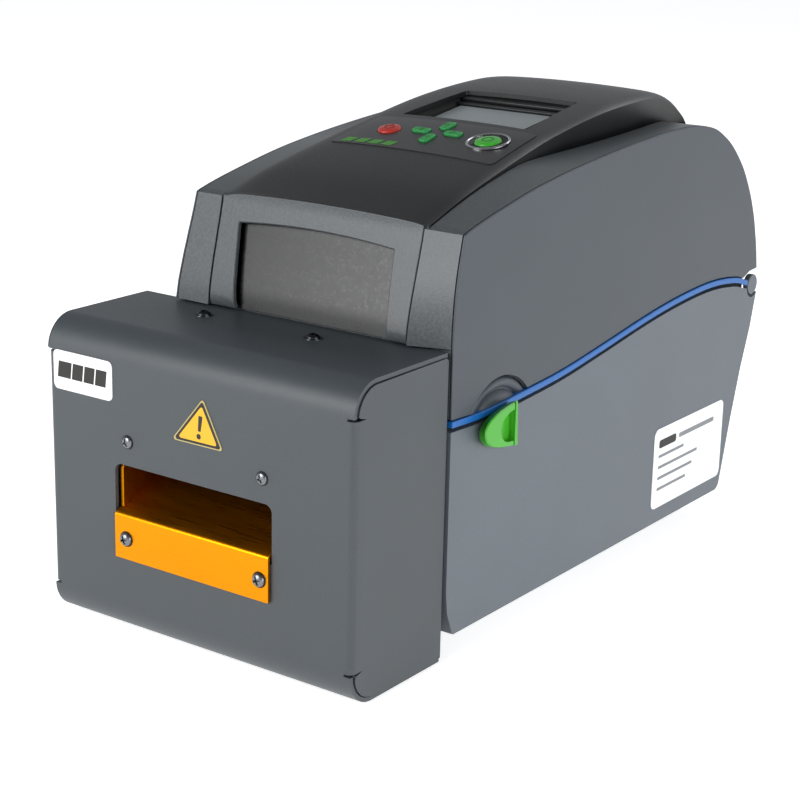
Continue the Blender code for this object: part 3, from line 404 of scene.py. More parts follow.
def merged(*parts: bmesh.types.BMesh) -> bmesh.types.BMesh:
    """Put several shapes in one bmesh."""
    whole = bmesh.new()
    for part in parts:
        scratch = bpy.data.meshes.new("scratch")
        part.to_mesh(scratch)
        part.free()
        whole.from_mesh(scratch)
        bpy.data.meshes.remove(scratch)
    return whole


def thickened(bm: bmesh.types.BMesh, thickness: float, upward: Vector) -> bmesh.types.BMesh:
    """Give an open sheet a wall on the side away from its outer face.

    Args:
        bm: Open sheet in millimetres.
        thickness: Wall in millimetres.
        upward: Direction that the largest face's outer side looks towards.

    Returns:
        The closed wall.
    """
    bmesh.ops.recalc_face_normals(bm, faces=bm.faces)
    widest = max(bm.faces, key=lambda face: face.calc_area())
    if widest.normal.dot(upward) < 0:
        bmesh.ops.reverse_faces(bm, faces=bm.faces)
    bmesh.ops.solidify(bm, geom=bm.faces[:], thickness=thickness)
    return bm


def solid_object(name: str, bm: bmesh.types.BMesh) -> bpy.types.Object:
    """Linked object from a bmesh in millimetres, in the object's frame, facing outwards."""
    if bm.calc_volume(signed=True) < 0:
        bmesh.ops.reverse_faces(bm, faces=bm.faces)
    bmesh.ops.scale(bm, vec=(MM, MM, MM), verts=bm.verts)
    bmesh.ops.translate(bm, vec=ORIGIN, verts=bm.verts)
    mesh = bpy.data.meshes.new(name)
    bm.to_mesh(mesh)
    bm.free()
    made = bpy.data.objects.new(name, mesh)
    bpy.context.scene.collection.objects.link(made)
    return made


def carved(piece: bpy.types.Object, *cutters: bmesh.types.BMesh) -> bpy.types.Object:
    """Cut closed shapes out of a piece and keep the result as its mesh."""
    tools = []
    for cutter in cutters:
        tool = solid_object("cutter", cutter)
        step = piece.modifiers.new("Cut", "BOOLEAN")
        step.operation, step.solver, step.object = "DIFFERENCE", "EXACT", tool
        tools.append(tool)
    bpy.context.view_layer.update()
    graph = bpy.context.evaluated_depsgraph_get()
    mesh = bpy.data.meshes.new_from_object(piece.evaluated_get(graph))
    piece.modifiers.clear()
    old, piece.data = piece.data, mesh
    bpy.data.meshes.remove(old)
    for tool in tools:
        bpy.data.objects.remove(tool)
    return piece


@dataclass(frozen=True)
class Dress:
    """What a finished piece is made of, rides on and stands for."""

    finish: AnyFinish
    body: str = "base"
    slot: str = ""
    replaces: tuple[str, ...] = ()
    soft: float = 0.0
    sharp: float = 32.0


def dressed(piece: Union[bpy.types.Object, bmesh.types.BMesh], name: str,
            dress: Dress) -> bpy.types.Object:
    """Name a piece and give it its material, edges and body.

    Args:
        piece: Object, or a bmesh in millimetres.
        name: The piece's name.
        dress: How it is finished.

    Returns:
        The finished object.
    """
    if isinstance(piece, bmesh.types.BMesh):
        piece = solid_object(name, piece)
    piece.name = piece.data.name = name
    piece.data.materials.clear()
    piece.data.materials.append(dress.finish.material())
    piece.data.shade_smooth()
    piece.data.set_sharp_from_angle(angle=radians(dress.sharp))
    if dress.soft:
        edge = piece.modifiers.new("Edge", "BEVEL")
        edge.width, edge.segments = dress.soft * MM, 3
        edge.limit_method, edge.angle_limit = "ANGLE", radians(dress.sharp)
        edge.harden_normals = True
    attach(piece, dress.body)
    if dress.replaces:
        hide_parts(*dress.replaces)
    LOG.info("%s: %d faces on %s", name, len(piece.data.polygons), dress.body)
    return piece


def recolour(node_name: str, finish: AnyFinish) -> None:
    """Give a kept node a better material."""
    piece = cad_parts[node_name]
    for slot in piece.material_slots:
        slot.material = finish.material()


# ---------------------------------------------------------------- printer body

@dataclass(frozen=True)
class BodyShape:
    """Curves that the case, the strip and the cover share."""

    half_width: float = 59.0
    cover_draft: float = 0.9
    strip_height: float = 2.3
    seam_points: tuple[Point, ...] = ((0, 84.8), (20, 84.2), (45, 85.7), (70, 87.6), (96, 91.0),
                                      (134, 96.4), (160, 99.0), (185, 99.9), (206, 98.0),
                                      (218, 94.8))
    front_line: tuple[Point, ...] = ((84.0, 0.0), (100.0, 0.1), (115.4, 0.5), (128.7, 1.6),
                                     (138.0, 3.3), (149.0, 6.0))
    swell: tuple[Point, ...] = ((111.25, 0.0), (111.7, 5.3), (117.9, 4.5), (125.0, 3.0),
                                (131.9, 1.6), (140.0, 0.5), (147.0, 0.0))
    front_rows: tuple[float, ...] = (88.4, 100.0, 108.0, 111.25, 111.7, 113.0, 115.4, 118.0, 121.0,
                                     125.0, 128.7, 132.0, 135.0, 138.0, 141.0, 145.0, 149.0)
    top_edge: tuple[Point, ...] = ((6.0, 149.2), (13.2, 151.2), (25, 153.9), (50, 158.8),
                                   (76, 162.3), (104, 165.0), (134, 167.1), (149, 167.6),
                                   (165, 167.3), (174, 166.1), (182.6, 163.9), (190.5, 160.0),
                                   (196, 156.6), (202, 151.6), (208, 145.4), (213.3, 138.0),
                                   (217.2, 131.2), (220.4, 124.0), (222.8, 116.6),
                                   (224.8, 108.9), (226.2, 101.0))
    shoulder: tuple[Point, ...] = ((6.0, 149.8), (28, 156.2), (50, 160.8), (66, 163.2),
                                   (94, 163.9), (122, 164.7), (152, 166.1), (168, 166.8),
                                   (180, 164.4), (190.5, 160.0))
    panel_widths: tuple[Point, ...] = ((6.0, 43.8), (28, 43.0), (64, 41.0), (90, 40.0),
                                       (191, 40.0))
    panel_edge: tuple[Point, ...] = ((6.0, 150.1), (28, 156.8), (63, 164.6), (90, 169.9),
                                     (120, 174.3), (150, 176.4), (165, 176.2), (176, 173.2),
                                     (187, 166.8), (190.0, 163.8))
    panel_centre: tuple[Point, ...] = ((6.0, 152.2), (30, 159.4), (63, 166.9), (84.6, 171.2),
                                       (127.5, 177.4), (150, 179.0), (165, 179.0),
                                       (175, 177.6), (184, 173.6), (190.0, 166.5))
    panel_rear: float = 190.0
    hinge: Point = (223.0, 94.5)
    hinge_notch: float = 5.4
    arch: Point = (30.0, 74.0)
    arch_radius: float = 22.4

    def seam(self, y: float) -> float:
        """Height of the blue strip's lower edge."""
        return ease(self.seam_points, y)

    def seam_line(self, offset: float, start: float = 0.0, end: float = 217.6) -> list[Point]:
        """Points along the seam, moved up by an offset."""
        steps = 72
        places = [start + (end - start) * i / steps for i in range(steps + 1)]
        return [(y, self.seam(y) + offset) for y in places]

    def front(self, x: float, z: float) -> float:
        """Depth of the cover's front at a place: swollen forwards over the cutter."""
        swell = self.swell[-1][1]
        for (low, near), (high, far) in zip(self.swell, self.swell[1:]):
            if low <= z <= high:
                swell = near + (far - near) * (z - low) / (high - low)
        return ease(self.front_line, z) - swell * min(max((59.0 - x) / 15.0, 0.0), 1.0)

    def cover_half(self, z: float) -> float:
        """Half the cover's width at a height."""
        return self.half_width - self.cover_draft * max(z - 90.0, 0.0) / 78.0

    def fascia_half(self, side: int, z: float) -> float:
        """Width of the grey front frame from the centre to one side, at a height."""
        return 43.0 + (2.6 if side < 0 else -1.4) * max(z - 113.0, 0.0) / 36.0

    def panel_height(self, x: float, y: float) -> float:
        """Height of the dark panel, crowned and rounded down at its long edges."""
        centre, edge = ease(self.panel_centre, y), ease(self.panel_edge, y)
        share = min(abs(x) / ease(self.panel_widths, y), 1.0)
        return centre - 1.2 * share ** 2 - (centre - edge - 1.2) * share ** 14

    def on_panel(self, x: float, y: float, lift: float = 0.0) -> Matrix:
        """Matrix that stands a shape square on the panel at a place."""
        slope = (ease(self.panel_centre, y + 3) - ease(self.panel_centre, y - 3)) / 6.0
        spot = Vector((x, y, self.panel_height(x, y) + lift))
        return Matrix.Translation(spot) @ Matrix.Rotation(atan2(slope, 1.0), 4, "X")


SHAPE = BodyShape()


@dataclass
class LowerCase:
    """Moulded tub with its blue seam strips, feet, hinge barrels and rear openings."""

    bottom: float = 9.2
    wall: float = 2.4
    gap_below_strip: float = 1.5
    lip_inset: float = 2.4
    strip_proud: float = 0.4
    barrels: tuple[Point, ...] = ((-50.0, -34.0), (-20.0, 20.0), (34.0, 50.0))
    vents: int = 9
    feet: tuple[Point, ...] = ((-34, 18), (34, 18), (-34, 186), (34, 186))
    notch_cap: float = 4.2

    def outline(self, inset: float) -> list[Point]:
        """Side view below the seam, moved inwards by an inset."""
        low = self.bottom + inset
        return fillet([(inset, 30, 0), (inset + 0.2, 24, 0), (inset + 1.0, 18, 0),
                       (inset + 4.6, low, 1), (203.3 - inset, low, 4),
                       (210.6 - inset, 37.7, 20), (217.2 - inset, 60.0, 20),
                       (223.2 - inset, 76.0, 20), (227.2 - inset, 92.0, 0)], 8)

    def tub(self) -> None:
        """Build the tub with its well, notch, ports and vents."""
        half = SHAPE.half_width
        roof = list(reversed(SHAPE.seam_line(-self.gap_below_strip)))
        outer = self.outline(0) + [(226.9, 94.2), (218.2, 93.4)] + roof[1:]
        tub = solid_object("case_tub", prism(outer, Axis.X, -half, half))
        well = self.outline(self.wall)[1:] + [(224.8, 120), (self.wall, 120)]
        cutters = [prism(well, Axis.X, self.wall - half, half - self.wall),
                   prism(arc(SHAPE.hinge, SHAPE.hinge_notch, 0, 352.5, 47), Axis.X, -70, 70),
                   cuboid((-43.5, 25.0), (-5, 10), (50, 100)),
                   cuboid((28.0, 42.0), (190, 230), (24.0, 35.0)),
                   cuboid((-6.0, 8.0), (190, 230), (24.0, 36.0))]
        for i in range(self.vents):
            x = -46 + 4.5 * i
            cutters.append(cuboid((x, x + 2.0), (190, 232), (50.0, 72.0)))
        carved(tub, *cutters)
        dressed(tub, "case_tub", Dress(CASE_ABS, slot="housing_plastic", replaces=("lower_case",),
                                       soft=0.7))
        for i, (low, high) in enumerate(self.barrels):
            ring = prism(arc(SHAPE.hinge, 4.6, 0, 352.5, 47), Axis.X, low, high)
            web = prism([(219.0, 94.5), (219.0, 78.0), (223.4, 82.0), (226.4, 90.8),
                         (225.6, 94.5)], Axis.X, low, high)
            dressed(merged(ring, web), f"case_hinge_barrel_{i + 1}",
                    Dress(CASE_ABS, slot="housing_plastic", soft=0.3))

    def strips(self) -> None:
        """Blue strip on each side over a recessed near-black lip, which is painted shade for the gap
        below the strip.
        """
        for side, word in ((1, "right"), (-1, "left")):
            lower = SHAPE.seam_line(0.0, 0.2)
            upper = list(reversed(SHAPE.seam_line(SHAPE.strip_height, 0.2)))
            limits = sorted((side * (SHAPE.half_width - 2.0),
                             side * (SHAPE.half_width + self.strip_proud)))
            dressed(prism(lower + upper, Axis.X, *limits), f"seam_strip_blue_{word}",
                    Dress(BLUE_ABS, slot="blue_strip", replaces=(f"seam_strip_{word}",), soft=0.35))
            lip = SHAPE.seam_line(-3.0) + list(reversed(SHAPE.seam_line(2.8)))
            inner = SHAPE.half_width - self.lip_inset
            cap = prism(arc(SHAPE.hinge, self.notch_cap, 0, 350, 35), Axis.X,
                        *sorted((side * 56.5, side * SHAPE.half_width)))
            dressed(cap, f"hinge_cap_{word}", Dress(CASE_ABS, slot="housing_plastic", soft=0.3))
            # the lip's near-black is painted shade in the gap under the strip
            dressed(prism(lip, Axis.X, *sorted((side * (inner - 1.6), side * inner))),
                    f"seam_shade_lip_{word}", Dress(SHADOW_ABS, slot="panel_plastic"))

    def stand(self) -> None:
        """Rubber feet with a ribbed sole."""
        names = ("front_left", "front_right", "rear_left", "rear_right")
        profile = [(0, 8.9), (6.0, 8.9), (6.3, 8.6), (7.5, 2.0), (7.4, 0.9), (6.6, 0.0), (5.4, 0.0),
                   (5.0, 0.6), (4.2, 0.6), (3.8, 0.0), (2.6, 0.0), (2.2, 0.6), (0, 0.6)]
        for (x, y), word in zip(self.feet, names):
            foot = placed(turned(profile, 32), Matrix.Translation((x, y, 0)))
            dressed(foot, f"rubber_foot_{word}",
                    Dress(RUBBER, slot="rubber", replaces=(f"foot_{word}",)))

    def build(self) -> None:
        """Make every piece of the case."""
        self.tub()
        self.strips()
        self.stand()


@dataclass
class Latch:
    """Green finger lever on each side: a flared D with a pocket and a thin rear rim."""

    root: float = 59.8
    face: float = 64.5
    pocket_depth: float = 2.6
    foot: tuple[Point, ...] = ((34.0, 86.4), (27.8, 85.6), (22.9, 84.5), (19.1, 83.2), (16.6, 81.2),
                               (16.0, 79.2), (16.9, 76.8), (20.1, 74.0), (25.7, 72.2), (34.0, 71.8))
    rim: tuple[Point, ...] = ((32.6, 88.2), (24.2, 87.2), (18.2, 85.7), (14.4, 83.7), (12.9, 80.9),
                              (14.4, 77.2), (18.4, 74.8), (24.0, 73.4), (29.3, 72.6), (33.4, 71.9))

    def lever(self, side: int) -> bpy.types.Object:
        """Loft from the foot to the wider face, with the pocket and its slit cut in."""
        bm = bmesh.new()
        depths = ((self.root, self.foot), (self.face - 0.5, self.rim), (self.face, self.rim))
        rings = []
        for i, (x, line) in enumerate(depths):
            shrink = 0.965 if i == 2 else 1.0
            rings.append([bm.verts.new((x * side, 26.0 + (y - 26.0) * shrink,
                                        80.0 + (z - 80.0) * shrink))
                          for y, z in spline(line, 5)])
        for low, high in zip(rings, rings[1:]):
            for k in range(len(low)):
                m = (k + 1) % len(low)
                bm.faces.new((low[k], low[m], high[m], high[k]))
        bm.faces.new(rings[0])
        bm.faces.new(rings[-1])
        bmesh.ops.recalc_face_normals(bm, faces=bm.faces)
        lever = solid_object("lever", bm)
        deep = sorted(((self.face - self.pocket_depth) * side, (self.face + 3) * side))
        pocket = spline(((31.2, 85.6), (27.5, 85.0), (24.0, 83.2), (22.4, 80.2), (23.2, 77.2),
                         (26.0, 74.9), (31.2, 74.2)), 5)
        slit = [(30.5, 70.0), (31.3, 70.0), (31.3, 90.0), (30.5, 90.0)]
        shallow = sorted(((self.face - 1.3) * side, (self.face + 3) * side))
        return carved(lever, prism(pocket, Axis.X, *deep), prism(slit, Axis.X, *shallow))

    def build(self) -> None:
        """Make both levers with their hubs."""
        for side, word in ((1, "right"), (-1, "left")):
            dress = Dress(GREEN_ABS, f"latch_{word}", "green_plastic", (f"latch_lever_{word}",), 0.3)
            dressed(self.lever(side), f"latch_finger_lever_{word}", dress)
            hub = merged(prism(arc((27.0, 79.0), 3.0, 0, 348, 29), Axis.X,
                               *sorted((54.0 * side, 60.2 * side))),
                         prism(arc((27.0, 79.0), 5.5, 0, 348, 29), Axis.X,
                               *sorted((53.0 * side, 56.0 * side))))
            dressed(hub, f"latch_hub_{word}", Dress(GREEN_ABS, f"latch_{word}", "green_plastic",
                                                    soft=0.2))


# ---------------------------------------------------------------- cover

@dataclass
class Cover:
    """Hinged cover: inner shell, side panels, arch dishes and hinge knuckles."""

    wall: float = 2.2
    side_sheet: float = 0.8
    side_gap: float = 0.3
    panel_gap: float = 0.45
    knuckles: tuple[Point, ...] = ((-33.5, -20.5), (20.5, 33.5))

    def side_path(self, x: float) -> list[Point]:
        """Front edge, top edge and rear edge in side view, at one X."""
        return [(SHAPE.front(x, z), z) for z in SHAPE.front_rows] + spline(SHAPE.top_edge, 4)[1:]

    def shell_half(self, side: int) -> bpy.types.Object:
        """Front strip, shoulder, half the rear wall and the inner side wall on one side."""
        inset = self.side_sheet + self.side_gap
        bm = bmesh.new()
        outer, inner, middle = [], [], []
        edge_path = self.side_path(59.0 * side)
        fascia_path = self.side_path(43.0 * side)
        for (y, z), (inner_y, _) in zip(edge_path, fascia_path):
            outer.append(bm.verts.new((side * (SHAPE.cover_half(z) - inset), y, z)))
            centre = None
            if z <= 149.0 and y < 10:
                near = SHAPE.fascia_half(side, z)
                inner.append(bm.verts.new((side * (near + self.panel_gap), inner_y, z)))
            elif y < 190.4:
                edge = ease(SHAPE.panel_widths, y) + self.panel_gap
                inner.append(bm.verts.new((side * edge, y, ease(SHAPE.shoulder, y))))
            else:
                inner.append(bm.verts.new((side * (40.0 + self.panel_gap), y, z)))
                centre = bm.verts.new((0.0, y, z))
            middle.append(centre)
        for i in range(len(edge_path) - 1):
            bm.faces.new((outer[i], outer[i + 1], inner[i + 1], inner[i]))
            if middle[i] and middle[i + 1]:
                bm.faces.new((inner[i], inner[i + 1], middle[i + 1], middle[i]))
        rim = [bm.verts.new((side * (SHAPE.half_width - inset), y, z)) for y, z in
               reversed(SHAPE.seam_line(SHAPE.strip_height + 0.4, 1.0, 214.0))]
        heel = bm.verts.new((side * (SHAPE.half_width - inset), 219.5, 101.0))
        bm.faces.new(outer + [heel] + rim)
        half = solid_object("cover_moulding", thickened(bm, self.wall, Vector((side, 0.2, 1))))
        disc = arc(SHAPE.arch, SHAPE.arch_radius - 0.2, 0, 354, 59)
        return carved(half, prism(disc, Axis.X, *sorted((50.0 * side, 70.0 * side))))

    def shell(self) -> None:
        """Both halves of the moulding."""
        for side, word in ((1, "right"), (-1, "left")):
            replaced = ("cover_shell",) if side > 0 else ()
            dressed(self.shell_half(side), f"cover_moulding_{word}",
                    Dress(FRAME_ABS, "cover", "housing_plastic", replaced, 0.45))

    def side_panels(self) -> None:
        """Thin outer skin on each side, with the arch cut through it."""
        for side, word in ((1, "right"), (-1, "left")):
            rim = list(reversed(SHAPE.seam_line(SHAPE.strip_height + 0.35, 0.4, 214.0)))
            outline = self.side_path(59.0 * side) + [(219.7, 100.6)] + rim
            bm = prism(outline, Axis.X, 0.0, self.side_sheet)
            for vert in bm.verts:
                skin = SHAPE.cover_half(vert.co.z) - self.side_sheet
                vert.co.x = side * (vert.co.x + skin)
            bmesh.ops.recalc_face_normals(bm, faces=bm.faces)
            panel = solid_object("panel", bm)
            disc = prism(arc(SHAPE.arch, SHAPE.arch_radius, 0, 355, 71), Axis.X,
                         *sorted((50.0 * side, 70.0 * side)))
            dressed(carved(panel, disc), f"cover_side_{word}",
                    Dress(COVER_ABS, "cover", "housing_plastic", soft=0.35))

    def arch_dishes(self) -> None:
        """Stepped dish behind each arch, ending at the strip."""
        steps = [(0, -0.7), (15.2, -0.7), (16.6, -1.1), (17.3, -2.2), (17.7, -2.2), (18.4, -1.3),
                 (19.6, -0.75), (20.8, -0.75), (21.5, -1.3), (21.8, -2.6), (22.3, -2.8),
                 (23.6, -2.8), (23.6, -6.0), (0, -6.0)]
        for side, word in ((1, "right"), (-1, "left")):
            dish = turned(steps, 96)
            turn = Matrix.Rotation(radians(90 * side), 4, "Y")
            spot = Matrix.Translation((SHAPE.half_width * side, *SHAPE.arch))
            placed(dish, spot @ turn)
            cut = bmesh.ops.bisect_plane(dish, geom=dish.verts[:] + dish.edges[:] + dish.faces[:],
                                         plane_co=(0, 30, SHAPE.seam(30) + 2.0),
                                         plane_no=(0, -0.055, 1), clear_inner=True)
            rim = [e for e in cut["geom_cut"] if isinstance(e, bmesh.types.BMEdge)]
            bmesh.ops.contextual_create(dish, geom=rim)
            bmesh.ops.recalc_face_normals(dish, faces=dish.faces)
            dressed(dish, f"arch_dish_{word}", Dress(COVER_ABS, "cover", "housing_plastic",
                                                     sharp=50))

    def hinge(self) -> None:
        """Two knuckles with their webs."""
        for i, (low, high) in enumerate(self.knuckles):
            ring = prism(arc(SHAPE.hinge, 4.6, 0, 352.5, 47), Axis.X, low, high)
            web = prism([(219.4, 96.0), (225.6, 96.0), (225.9, 101.5), (224.6, 108.0),
                         (221.6, 108.0)], Axis.X, low, high)
            dressed(merged(ring, web), f"cover_knuckle_{i + 1}",
                    Dress(COVER_ABS, "cover", "housing_plastic", soft=0.3))

    def build(self) -> None:
        """Make every piece of the cover's shell."""
        self.shell()
        self.side_panels()
        self.arch_dishes()
        self.hinge()


@dataclass
class FrontWindow:
    """Grey frame with a crowned top, and the smoked pane set back in it."""

    foot: float = 88.6
    sill: float = 111.6
    frame_wall: float = 2.0
    set_back: float = 3.4
    pane_inset: float = 5.5
    pane_top: float = 146.0
    pane_wall: float = 1.4

    def half(self, side: int, z: float) -> float:
        """X of the frame's left or right edge at a height."""
        return side * SHAPE.fascia_half(side, z)

    def pane(self) -> bmesh.types.BMesh:
        """Smoked sheet that follows the cover's front, set back behind the frame."""
        bm = bmesh.new()
        across, upward, bend = 26, 16, 113.0
        heights = [(z, z) for z in (self.foot, 100.0, 108.0, 111.25, 111.7, bend)]
        heights += [(bend + 36.0 * i / upward, bend + (self.pane_top - bend) * i / upward)
                    for i in range(1, upward + 1)]
        rows = []
        for edge_height, z in heights:
            left = self.half(-1, edge_height) + self.pane_inset
            right = self.half(1, edge_height) - self.pane_inset
            rows.append([bm.verts.new((left + (right - left) * (u / across),
                                       SHAPE.front(0.0, z) + self.set_back, z))
                         for u in range(across + 1)])
        for low_row, high_row in zip(rows, rows[1:]):
            for u in range(across):
                bm.faces.new((low_row[u], low_row[u + 1], high_row[u + 1], high_row[u]))
        return thickened(bm, self.pane_wall, Vector((0, -1, 0)))

    def frame(self) -> bmesh.types.BMesh:
        """Frame as a net of faces that leaves the opening out, with a plain sill below."""
        bm = bmesh.new()
        bars, middle = 5, 16
        low_rows, high_rows = 14, 4
        rows = []
        for v in range(low_rows + high_rows + 1):
            share, extra = min(v / low_rows, 1.0), max((v - low_rows) / high_rows, 0.0)
            guess = self.sill + 29.5 * share + 8.0 * extra
            left, right = self.half(-1, guess), self.half(1, guess)
            near, far = -31.8 - 0.159 * (guess - 113.0), 34.7 - 0.119 * (guess - 112.8)
            columns = [left + (near - left) * i / bars for i in range(bars)]
            columns += [near + (far - near) * i / middle for i in range(middle)]
            columns += [far + (right - far) * i / bars for i in range(bars + 1)]
            row = []
            for x in columns:
                lintel = 142.6 - 1.7 * ((min(max(x, -36.2), 31.3) + 3.0) / 34.0) ** 2
                top = SHAPE.panel_height(x, 6.0) - 0.5
                z = self.sill + (lintel - self.sill) * share + (top - lintel) * extra
                row.append(bm.verts.new((x, SHAPE.front(0.0, z) + 0.1, z)))
            rows.append(row)
        for v, (low_row, high_row) in enumerate(zip(rows, rows[1:])):
            for u in range(len(low_row) - 1):
                if v >= low_rows or not bars <= u < bars + middle:
                    bm.faces.new((low_row[u], low_row[u + 1], high_row[u + 1], high_row[u]))
        bmesh.ops.delete(bm, geom=[v for v in bm.verts if not v.link_faces], context="VERTS")
        sheet = thickened(bm, self.frame_wall, Vector((0, -1, 0)))
        return merged(sheet, cuboid((-43.0, 43.0), (0.3, 2.3), (self.foot, self.sill - 0.5)))

    def build(self) -> None:
        """Make the frame and the pane behind it."""
        dressed(self.frame(), "window_frame",
                Dress(FRAME_ABS, "cover", "housing_plastic", ("front_frame",), 0.5))
        dressed(self.pane(), "smoked_pane",
                Dress(SMOKED, "cover", "smoked_window", ("window_pane",)))


@dataclass
class TopPanel:
    """Dark hood with its display bay, keypad film, keys and ring."""

    sheet: float = 1.7
    bay: tuple[tuple[float, float, float], ...] = ((-27.0, 88.0, 1.0), (28.3, 88.4, 1.0),
                                                   (26.4, 127.6, 1.5), (-23.4, 126.4, 1.5))
    rows: int = 74
    film: tuple[tuple[float, float, float], ...] = ((-35.0, 53.4, 2.0), (37.0, 52.6, 2.0),
                                                    (35.6, 84.6, 1.0), (-33.4, 83.0, 1.0))
    keys: dict[str, tuple[float, float, tuple[float, ...]]] = field(default_factory=lambda: {
        "power_button": (-19.2, 69.4, (8.8,)), "feed_button": (24.0, 70.0, (10.0,)),
        "up_key": (0.9, 78.3, (3.8, 7.2)), "down_key": (1.1, 64.8, (3.8, 7.2)),
        "left_key": (-6.0, 71.3, (7.2, 3.8)), "right_key": (7.7, 71.8, (7.2, 3.8))})

    def hood(self) -> None:
        """Crowned sheet with side skirts and a closed rear end."""
        shares = (-1.0, -0.992, -0.975, -0.95, -0.91, -0.86, -0.79, -0.7, -0.55, -0.4, -0.2, 0.0,
                  0.2, 0.4, 0.55, 0.7, 0.79, 0.86, 0.91, 0.95, 0.975, 0.992, 1.0)
        bm = bmesh.new()
        lines = []
        for i in range(self.rows + 1):
            y = 6.0 + (SHAPE.panel_rear - 6.0) * i / self.rows
            width = ease(SHAPE.panel_widths, y)
            rise = max((y - 176.0) / (SHAPE.panel_rear - 176.0), 0.0)
            foot = min(ease(SHAPE.shoulder, y) - 1.6, ease(SHAPE.panel_edge, y) - 2.2) + 2.6 * rise
            tuck = width - 2.2 * min(max((y - 70.0) / 30.0, 0.0), 1.0)
            line = [(-tuck, y, foot)]
            line += [(s * width, y, SHAPE.panel_height(s * width, y)) for s in shares]
            lines.append([bm.verts.new(p) for p in line + [(tuck, y, foot)]])
        lines.append([bm.verts.new((v.co.x, SHAPE.panel_rear + 0.5, min(v.co.z, 160.2)))
                      for v in lines[-1]])
        for low, high in zip(lines, lines[1:]):
            for i in range(len(low) - 1):
                bm.faces.new((low[i], low[i + 1], high[i + 1], high[i]))
        bmesh.ops.remove_doubles(bm, verts=bm.verts, dist=0.01)
        hood = solid_object("hood", thickened(bm, self.sheet, Vector((0, 0, 1))))
        cutters = [prism(fillet(self.bay, 8), Axis.Z, 150, 190)]
        for x, y, size in self.keys.values():
            cutters.append(placed(self.key_prism(size, -8, 8, 0.25), SHAPE.on_panel(x, y)))
        dressed(carved(hood, *cutters), "hood_panel",
                Dress(PANEL_ABS, "cover", "panel_plastic", ("top_panel",), 0.4, 34))

    def key_prism(self, size: tuple[float, ...], low: float, high: float,
                  grow: float) -> bmesh.types.BMesh:
        """Round or oblong key about the origin, made larger all round by grow."""
        if len(size) == 1:
            return prism(arc((0, 0), size[0] / 2 + grow, 0, 354, 59), Axis.Z, low, high)
        w, d = size[0] / 2 + grow, size[1] / 2 + grow
        return prism(rounded_box((-w, w), (-d, d), 1.2, 6), Axis.Z, low, high)

    def draped(self, outline: Sequence[Point], lift: float, thick: float) -> bmesh.types.BMesh:
        """Thin film cut to an outline and laid on the panel."""
        bm = bmesh.new()
        bm.faces.new([bm.verts.new((x, y, 0.0)) for x, y in outline])
        low_x, high_x = min(p[0] for p in outline), max(p[0] for p in outline)
        low_y, high_y = min(p[1] for p in outline), max(p[1] for p in outline)
        step = 2.0
        for axis, low, high in ((0, low_x, high_x), (1, low_y, high_y)):
            place = low + step
            while place < high:
                spot, way = Vector((0, 0, 0)), Vector((0, 0, 0))
                spot[axis], way[axis] = place, 1.0
                bmesh.ops.bisect_plane(bm, geom=bm.verts[:] + bm.edges[:] + bm.faces[:],
                                       plane_co=spot, plane_no=way)
                place += step
        for vert in bm.verts:
            vert.co.z = SHAPE.panel_height(vert.co.x, vert.co.y) + lift
        return thickened(bm, thick, Vector((0, 0, 1)))

    def keypad(self) -> None:
        """Film over the key area, with a plain green mark."""
        film = solid_object("film", self.draped(fillet(self.film, 5), 0.3, 0.28))
        cutters = [placed(self.key_prism(size, -8, 8, 0.25), SHAPE.on_panel(x, y))
                   for x, y, size in self.keys.values()]
        dressed(carved(film, *cutters), "keypad_film", Dress(KEYPAD_FILM, "cover", "panel_plastic"))
        for i, x in enumerate((-30.6, -24.6, -18.6, -12.6)):
            outline = [(x, 54.6), (x + 4.4, 54.6), (x + 5.4, 58.4), (x + 1.0, 58.4)]
            dressed(self.draped(outline, 0.42, 0.1), f"keypad_mark_{i + 1}",
                    Dress(MARK_GREEN, "cover", "green_plastic"))

    def arrow(self, turn: float) -> bmesh.types.BMesh:
        """Raised triangle on an arrow key, pointing along Y before it is turned."""
        bm = prism(fillet([(-1.35, -0.75, 0.2), (1.35, -0.75, 0.2), (0, 0.95, 0.2)], 3), Axis.Z,
                   1.2, 1.42)
        return placed(bm, Matrix.Rotation(radians(turn), 4, "Z"))

    def key_caps(self) -> None:
        """Red and green keys with a soft edge and a plain symbol each."""
        turns = {"up_key": 0, "down_key": 180, "left_key": 90, "right_key": -90}
        for name, (x, y, size) in self.keys.items():
            matrix = SHAPE.on_panel(x, y)
            if len(size) == 1:
                half = size[0] / 2
                cap = turned([(0, 1.42), (half * 0.45, 1.38), (half * 0.75, 1.25), (half - 0.35, 1.0),
                              (half, 0.5), (half, -4.2), (0, -4.2)], 64)
            else:
                cap = self.key_prism(size, -4.2, 1.2, 0.0)
            finish = {"power_button": KEY_RED, "feed_button": FEED_GREEN}.get(name, KEY_GREEN)
            slot = "red_plastic" if name == "power_button" else "green_plastic"
            dressed(placed(cap, matrix), f"{name}_cap",
                    Dress(finish, f"{name}_body", slot, (name,), 0.5 if len(size) == 2 else 0.0))
            if len(size) == 1:
                radius = size[0] * 0.2
                symbol = turned([(radius - 0.3, 1.2), (radius - 0.3, 1.5), (radius + 0.3, 1.47),
                                 (radius + 0.3, 1.2), (radius - 0.3, 1.2)], 48)
                bar = cuboid((-0.25, 0.25), (radius - 0.9, radius + 0.9), (1.2, 1.52))
                symbol = merged(symbol, bar) if name == "power_button" else symbol
            else:
                symbol = self.arrow(turns[name])
            dressed(placed(symbol, matrix), f"{name}_symbol",
                    Dress(PRINT_RED if name == "power_button" else PRINT_GREEN,
                          f"{name}_body", slot))
        ring = turned([(7.25, 0.3), (7.25, 0.75), (7.5, 0.95), (7.95, 0.95), (8.2, 0.7), (8.2, 0.3),
                       (7.25, 0.3)], 96)
        x, y, _ = self.keys["feed_button"]
